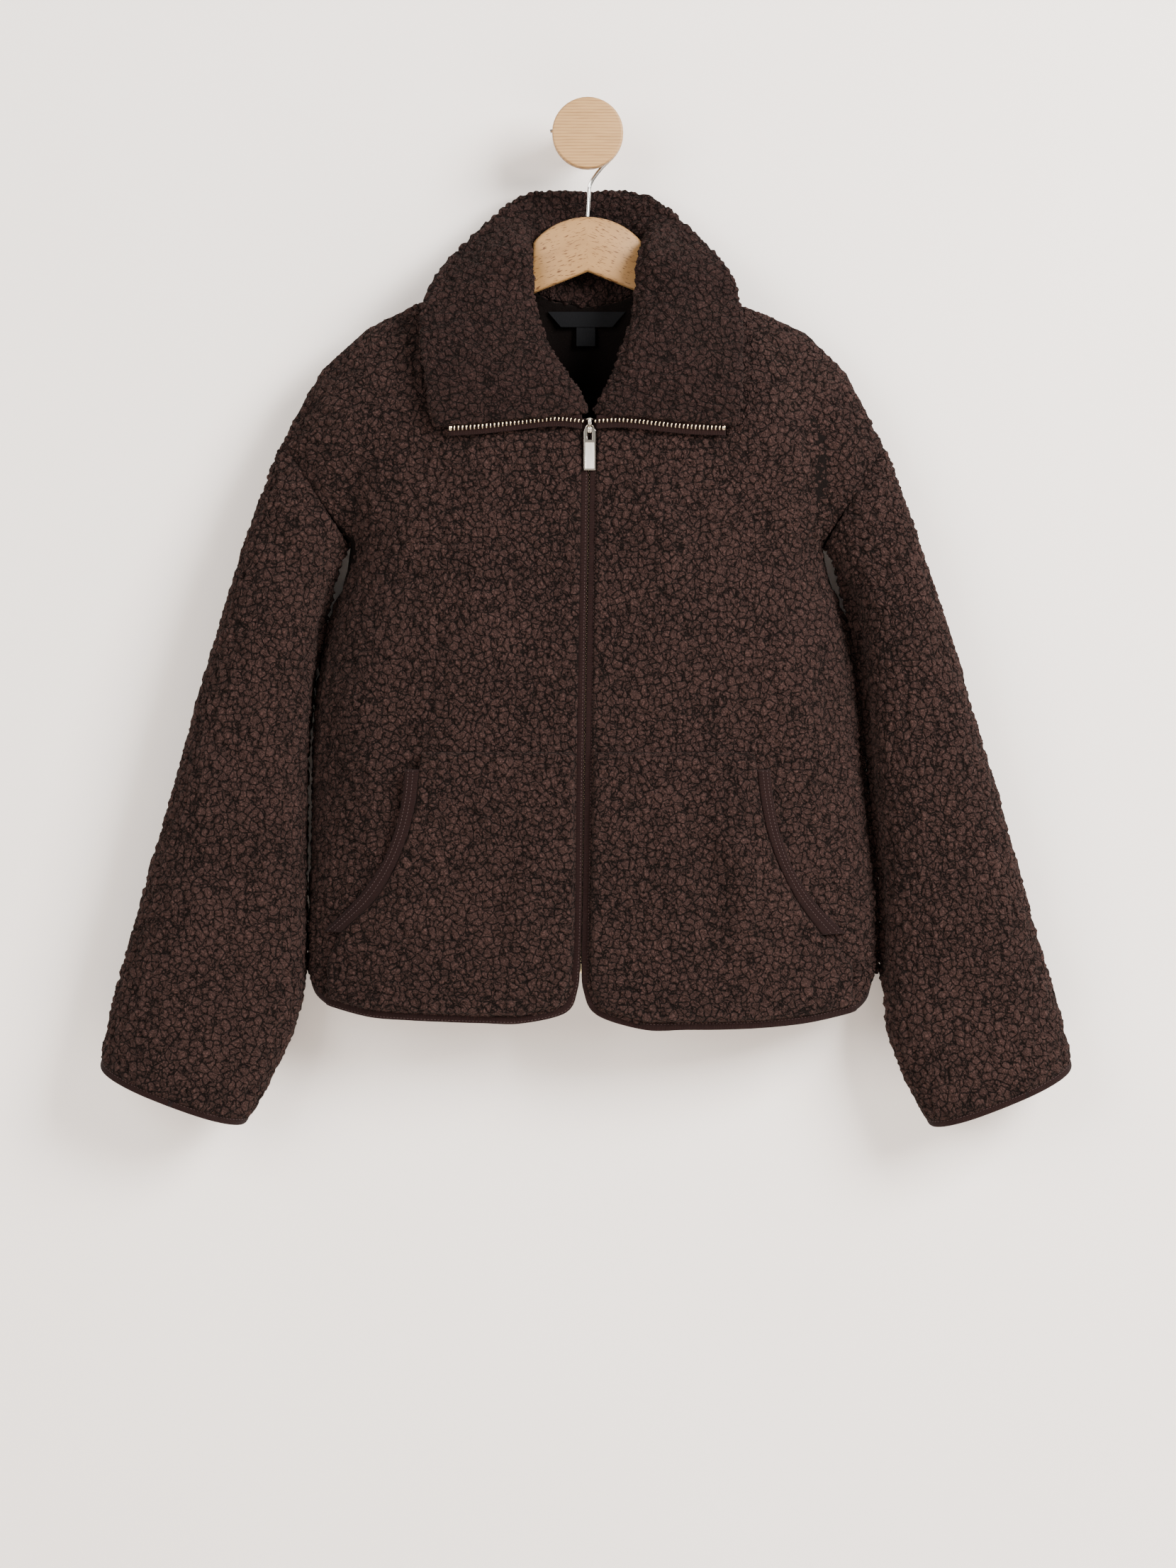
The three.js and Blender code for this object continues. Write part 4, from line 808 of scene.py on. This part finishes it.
# The zip is a moulded one with large pale gold teeth. Each open half has 33 teeth and an
# end stop; the closed chain lies behind the two bindings, on its tape, down to the box.
PITCH = 0.0037
gold = Finish("pale_gold", base_color=colour(226, 206, 168), metallic=1.0, roughness=0.3)
brushed = gold.noise(500, 2, 0.5)
gold.set(roughness=0.12 + brushed * 0.12)


def rounded_block(size, bevel, segments):
    """A small block with rounded edges, as a mesh to be copied."""
    bpy.ops.object.select_all(action="DESELECT")
    bpy.ops.mesh.primitive_cube_add(size=1)
    block = bpy.context.object
    block.scale = size
    bpy.ops.object.transform_apply(location=True, rotation=True, scale=True)
    rounder = block.modifiers.new("round", "BEVEL")
    rounder.width, rounder.segments = bevel, segments
    bpy.ops.object.modifier_apply(modifier=rounder.name)
    return small_model()


TOOTH = rounded_block((0.0012, 0.0020, 0.0042), 0.0004, 2)
LEAN = 0.07
for side, end in (("left", (-128, -110, -276)), ("right", (127, -111, -276))):
    node = f"zip_teeth_{side}"
    teeth = []
    for i, (place, axes, share) in enumerate(along_strip(node, end, PITCH, 0, 0, None)):
        up = axes[2] if axes[2][2] > 0 else -axes[2]
        forward = axes[0] if axes[0][0] > 0 else -axes[0]
        out = axes[1]
        lean = up + forward * LEAN
        stop = i == 0
        teeth.append((place, np.array([forward, out, lean / np.linalg.norm(lean)]),
                      np.array([2.2 if stop else 1.0, 1.0, 1.0 - 0.28 * share ** 3])))
    last, axes, size = teeth[-1]
    teeth.append((2 * last - teeth[-2][0], axes, size * np.array([1, 1, 0.8])))
    row = copies(f"gold_teeth_{side}", TOOTH, teeth, gold.material)
    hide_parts(node)
    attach(row, "jacket")

# Above the teeth the collar's edge is turned in: a narrow band of the rib, sewn along
# the collar, closes it down to them.
for side, end in (("left", (-128, -110, -276)), ("right", (127, -111, -276))):
    rings = eased(strip_rings(f"zip_teeth_{side}", end), 0.004, False)
    band = round_strip(f"turned_edge_{side}", rings + np.array([0, 0.0012, 0.0036]), False, 1.0)
    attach(band, "jacket")

# The closed chain is two rows of small links on a tape of the same rib, sewn behind the
# two bindings. It runs down to a gold box that holds the chain's foot.
CHAIN_END = (2, -96, -266)
knit_strip("zip_chain_tape", "zip_chain", CHAIN_END)
LINK = rounded_block((0.0010, 0.0010, 0.0026), 0.0002, 1)
chain = []
for i, (place, axes, _) in enumerate(
        along_strip("zip_chain", CHAIN_END, PITCH / 2, 0, 0.5, None)):
    across = 0.0006 if i % 2 else -0.0006
    chain.append((place + axes[2] * across, axes, 1.0))
links = copies("gold_chain", LINK, chain, gold.material)
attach(links, "jacket")


def ease(piece, width, segments, smooth):
    """Rounds the sharp edges of a hard piece, and smooths the faces at less than an angle."""
    bpy.ops.object.select_all(action="DESELECT")
    piece.select_set(True)
    bpy.context.view_layer.objects.active = piece
    if width:
        rounder = piece.modifiers.new("ease", "BEVEL")
        rounder.width, rounder.segments = width, segments
        rounder.limit_method, rounder.angle_limit = "ANGLE", math.radians(35)
        bpy.ops.object.modifier_apply(modifier=rounder.name)
    bpy.ops.object.shade_smooth_by_angle(angle=math.radians(smooth))


def eased_copy(name, node, width, segments, material):
    """A hard part of the frame with its edges eased and its round faces smooth."""
    bm = bmesh.new()
    bm.from_mesh(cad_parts[node].data)
    bmesh.ops.remove_doubles(bm, verts=bm.verts, dist=1e-5)
    bmesh.ops.dissolve_limit(bm, angle_limit=math.radians(1), verts=bm.verts, edges=bm.edges)
    mesh = bpy.data.meshes.new(name)
    bm.to_mesh(mesh)
    bm.free()
    piece = bpy.data.objects.new(name, mesh)
    bpy.context.scene.collection.objects.link(piece)
    ease(piece, width, segments, 38)
    mesh.materials.append(material)
    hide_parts(node)
    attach(piece, "jacket")


eased_copy("gold_box", "zip_box", 0.0004, 2, gold.material)

# The slider is plated, with a crown of a short bar, a stem and a bowed arm. The bail holds
# the pull, a flat tab with a raised rim round a brushed panel and a window at its top.
plate = Finish("pale_plate", base_color=colour(222, 214, 200), metallic=1.0, roughness=0.22)
scratch = plate.noise(900, 3, 0.6, 0.0, plate.place((1, 1, 0.12)))
plate.set(roughness=0.06 + scratch * 0.1)
MIDDLE, FACE = 0.0019, -0.1063


def plated_bar(name, size, place):
    """A straight bar with well rounded edges."""
    bpy.ops.object.select_all(action="DESELECT")
    bpy.ops.mesh.primitive_cube_add(size=1, location=place)
    bar = bpy.context.object
    bar.name, bar.scale = name, size
    bpy.ops.object.transform_apply(location=True, rotation=True, scale=True)
    ease(bar, min(size) * 0.3, 3, 40)
    return bar


def plated_arm(name, radius, thick, low, middle_z):
    """A short bowed arm: the top of a ring of round wire, cut off at a level."""
    bpy.ops.object.select_all(action="DESELECT")
    bpy.ops.mesh.primitive_torus_add(
        major_radius=radius, minor_radius=thick, major_segments=48, minor_segments=10,
        location=(MIDDLE, FACE, middle_z), rotation=(math.radians(90), 0, 0))
    arm = bpy.context.object
    arm.name = name
    bpy.ops.object.transform_apply(location=True, rotation=True, scale=True)
    bpy.ops.object.mode_set(mode="EDIT")
    bpy.ops.mesh.select_all(action="SELECT")
    bpy.ops.mesh.bisect(plane_co=(0, 0, low), plane_no=(0, 0, 1), clear_inner=True,
                        use_fill=True)
    bpy.ops.object.mode_set(mode="OBJECT")
    bpy.ops.object.shade_smooth_by_angle(angle=math.radians(40))
    return arm


def joined(name, parts, node):
    """One plated piece made of several, in the place of a solid of the frame."""
    bpy.ops.object.select_all(action="DESELECT")
    for part in parts:
        part.select_set(True)
    bpy.context.view_layer.objects.active = parts[0]
    bpy.ops.object.join()
    parts[0].name = name
    parts[0].data.materials.append(plate.material)
    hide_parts(node)
    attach(parts[0], "jacket")


def bail_ring(name, x):
    """One of the two wire prongs that hold the pull."""
    bpy.ops.object.select_all(action="DESELECT")
    bpy.ops.mesh.primitive_torus_add(
        major_radius=0.0041, minor_radius=0.0005, major_segments=40, minor_segments=10,
        location=(x, -0.1073, -0.2768), rotation=(0, math.radians(90), 0))
    ring = bpy.context.object
    ring.name = name
    bpy.ops.object.transform_apply(location=True, rotation=True, scale=True)
    bpy.ops.object.shade_smooth()
    return ring


joined("plated_bail", [bail_ring("prong_left", MIDDLE - 0.0010),
                       bail_ring("prong_right", MIDDLE + 0.0010),
                       plated_bar("bail_foot", (0.0024, 0.0011, 0.0011),
                                  (MIDDLE, -0.1102, -0.2797))], "slider_bail")
slider = [plated_bar("slider_body", (0.0034, 0.0026, 0.0110), (MIDDLE, -0.1041, -0.2729)),
          plated_arm("crown_top", 0.0044, 0.00055, -0.2679, -0.2713),
          plated_bar("crown_stem", (0.0015, 0.0012, 0.0060), (MIDDLE, FACE, -0.2700)),
          plated_arm("crown_arm", 0.0040, 0.0006, -0.2749, -0.2768)]
joined("plated_slider", slider, "slider")

# The pull is cut from a grid: its window is an empty cell, its panel a sunk one, and its
# upper corners are drawn in.
PULL_X = (-0.0034, -0.0022, -0.0004, 0.0042, 0.0060, 0.0072)
PULL_Z = (-0.3148, -0.3134, -0.2894, -0.2870, -0.2794, -0.2785, -0.2753)
PULL_FRONT, PULL_BACK, SUNK = -0.1088, -0.1070, 0.0005
bpy.ops.object.select_all(action="DESELECT")
bpy.ops.mesh.primitive_grid_add(x_subdivisions=5, y_subdivisions=6, size=1,
                                rotation=(math.radians(90), 0, 0))
pull = bpy.context.object
pull.name = "plated_pull"
bpy.ops.object.transform_apply(location=True, rotation=True, scale=True)
bm = bmesh.new()
bm.from_mesh(pull.data)
for v in bm.verts:
    column, row = round((v.co.x + 0.5) * 5), round((v.co.z + 0.5) * 6)
    v.co = (PULL_X[column], PULL_FRONT, PULL_Z[row])
    if row == 6 and column in (0, 5):
        v.co.x += 0.0011 if column == 0 else -0.0011
        v.co.z -= 0.0011


def cell(column, row):
    where = Vector(((PULL_X[column] + PULL_X[column + 1]) / 2, PULL_FRONT,
                    (PULL_Z[row] + PULL_Z[row + 1]) / 2))
    return min(bm.faces, key=lambda f: (f.calc_center_median() - where).length)


bmesh.ops.delete(bm, geom=[cell(2, 3)], context="FACES_ONLY")
panel = [cell(column, 1) for column in (1, 2, 3)]
back = bmesh.ops.duplicate(bm, geom=bm.faces[:])
for v in [g for g in back["geom"] if isinstance(g, bmesh.types.BMVert)]:
    v.co.y = PULL_BACK
rims = rim_loops(bm)
fronts = [loop for loop in rims if middle_of(loop).y < -0.108]
for loop in fronts:
    mate = min((other for other in rims if other not in fronts),
               key=lambda other: (middle_of(other) - middle_of(loop)).length
               + abs(len(other) - len(loop)))
    bmesh.ops.bridge_loops(bm, edges=loop + mate)
sunk = bmesh.ops.extrude_face_region(bm, geom=panel)["geom"]
bmesh.ops.delete(bm, geom=panel, context="FACES")
for g in sunk:
    if isinstance(g, bmesh.types.BMVert):
        g.co.y += SUNK
    elif isinstance(g, bmesh.types.BMFace):
        g.material_index = 1
bmesh.ops.recalc_face_normals(bm, faces=bm.faces)
bm.to_mesh(pull.data)
bm.free()
pull.data.materials.append(plate.material)
brushed_plate = Finish("brushed_plate", metallic=1.0, roughness=0.5)
streaks = brushed_plate.noise(1200, 3, 0.6, 0.0, brushed_plate.place((1, 1, 0.06)))
brushed_plate.set(roughness=0.36 + streaks * 0.2,
                  base_color=brushed_plate.between(streaks, colour(176, 172, 163),
                                                   colour(238, 234, 226)))
pull.data.materials.append(brushed_plate.material)
ease(pull, 0.0004, 3, 40)
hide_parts("pull_tab")
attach(pull, "pull")

# The bare neck label and size tab are black woven satin, sewn in at the back neck.
satin = Finish("black_satin", roughness=0.7, specular_ior_level=0.12)
threads = satin.noise(1500, 1, 0.5, 0.0, satin.place((1, 1, 0.2)))
satin.set(base_color=satin.between(threads, colour(4, 4, 6), colour(11, 12, 15)),
          normal=satin.bump(threads, 0.0002, 0.5))
for node in ("neck_label", "size_tab"):
    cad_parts[node].data.materials.clear()
    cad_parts[node].data.materials.append(satin.material)

# The hanger is cut from a pale beech board, with the grain's short dark flecks slanting up
# to its middle from both sides. The turned knob has level grain, and both are oiled.
beech = Finish("beech_board", roughness=0.48, specular_ior_level=0.35)
axes = beech.node("ShaderNodeSeparateXYZ", {}, {0: beech.place()}, 0)
across = beech.node("ShaderNodeMath", {"operation": "ABSOLUTE"}, {0: axes})
height = Wire(beech, axes.socket.node.outputs[2])
half = beech.node("ShaderNodeMath", {"operation": "SIGN"}, {0: axes})
slant = beech.node("ShaderNodeCombineXYZ", {}, {
    0: across * 0.94 - height * 0.34, 1: height * 0.94 + across * 0.34,
    2: Wire(beech, axes.socket.node.outputs[1]) + half * 0.4})
fleck_place = beech.node("ShaderNodeMapping", {}, {"Vector": slant, "Scale": (1, 5.5, 1)})
flecks = beech.noise(170, 1, 0.5, 0.0, fleck_place)
bands = beech.noise(40, 3, 0.5, 0.0, beech.node("ShaderNodeMapping", {}, {
    "Vector": slant, "Scale": (0.3, 2.5, 1)}))
fleck = beech.node("ShaderNodeMath", {"operation": "SMOOTH_MAX"}, {
    0: (flecks - 0.6) * 9.0, 1: 0.0, 2: 0.05})
beech.set(base_color=beech.between(bands * 0.5 + 0.5 - fleck, colour(84, 52, 26),
                                   colour(158, 121, 76)),
          normal=beech.bump(flecks, 0.0001, 0.4))
turned = Finish("beech_turned", roughness=0.5, specular_ior_level=0.35)
level = turned.node("ShaderNodeTexWave", {"bands_direction": "Z"}, {
    "Vector": turned.place(), "Scale": 112, "Distortion": 1.6, "Detail": 2.0,
    "Detail Scale": 0.3}, "Fac")
pores = turned.noise(260, 2, 0.6, 0.0, turned.place((0.16, 1, 1.6)))
turned.set(base_color=turned.between(1.0 - (level ** 4) * 0.5 + (pores - 0.5) * 0.9,
                                     colour(104, 68, 34), colour(162, 126, 80)),
           normal=turned.bump(pores, 0.0001, 0.4))
eased_copy("beech_hanger", "hanger", 0.0012, 3, beech.material)
eased_copy("beech_knob", "wall_knob", 0.0016, 3, turned.material)

# The hook is bright steel wire, screwed into the hanger and laid over the knob's stem.
steel = Finish("bright_wire", base_color=colour(206, 205, 203), metallic=1.0, roughness=0.18)
drawn = steel.noise(700, 2, 0.5, 0.0, steel.place((1, 1, 0.1)))
steel.set(roughness=0.12 + drawn * 0.14)
eased_copy("wire_hook", "hook", 0, 1, steel.material)
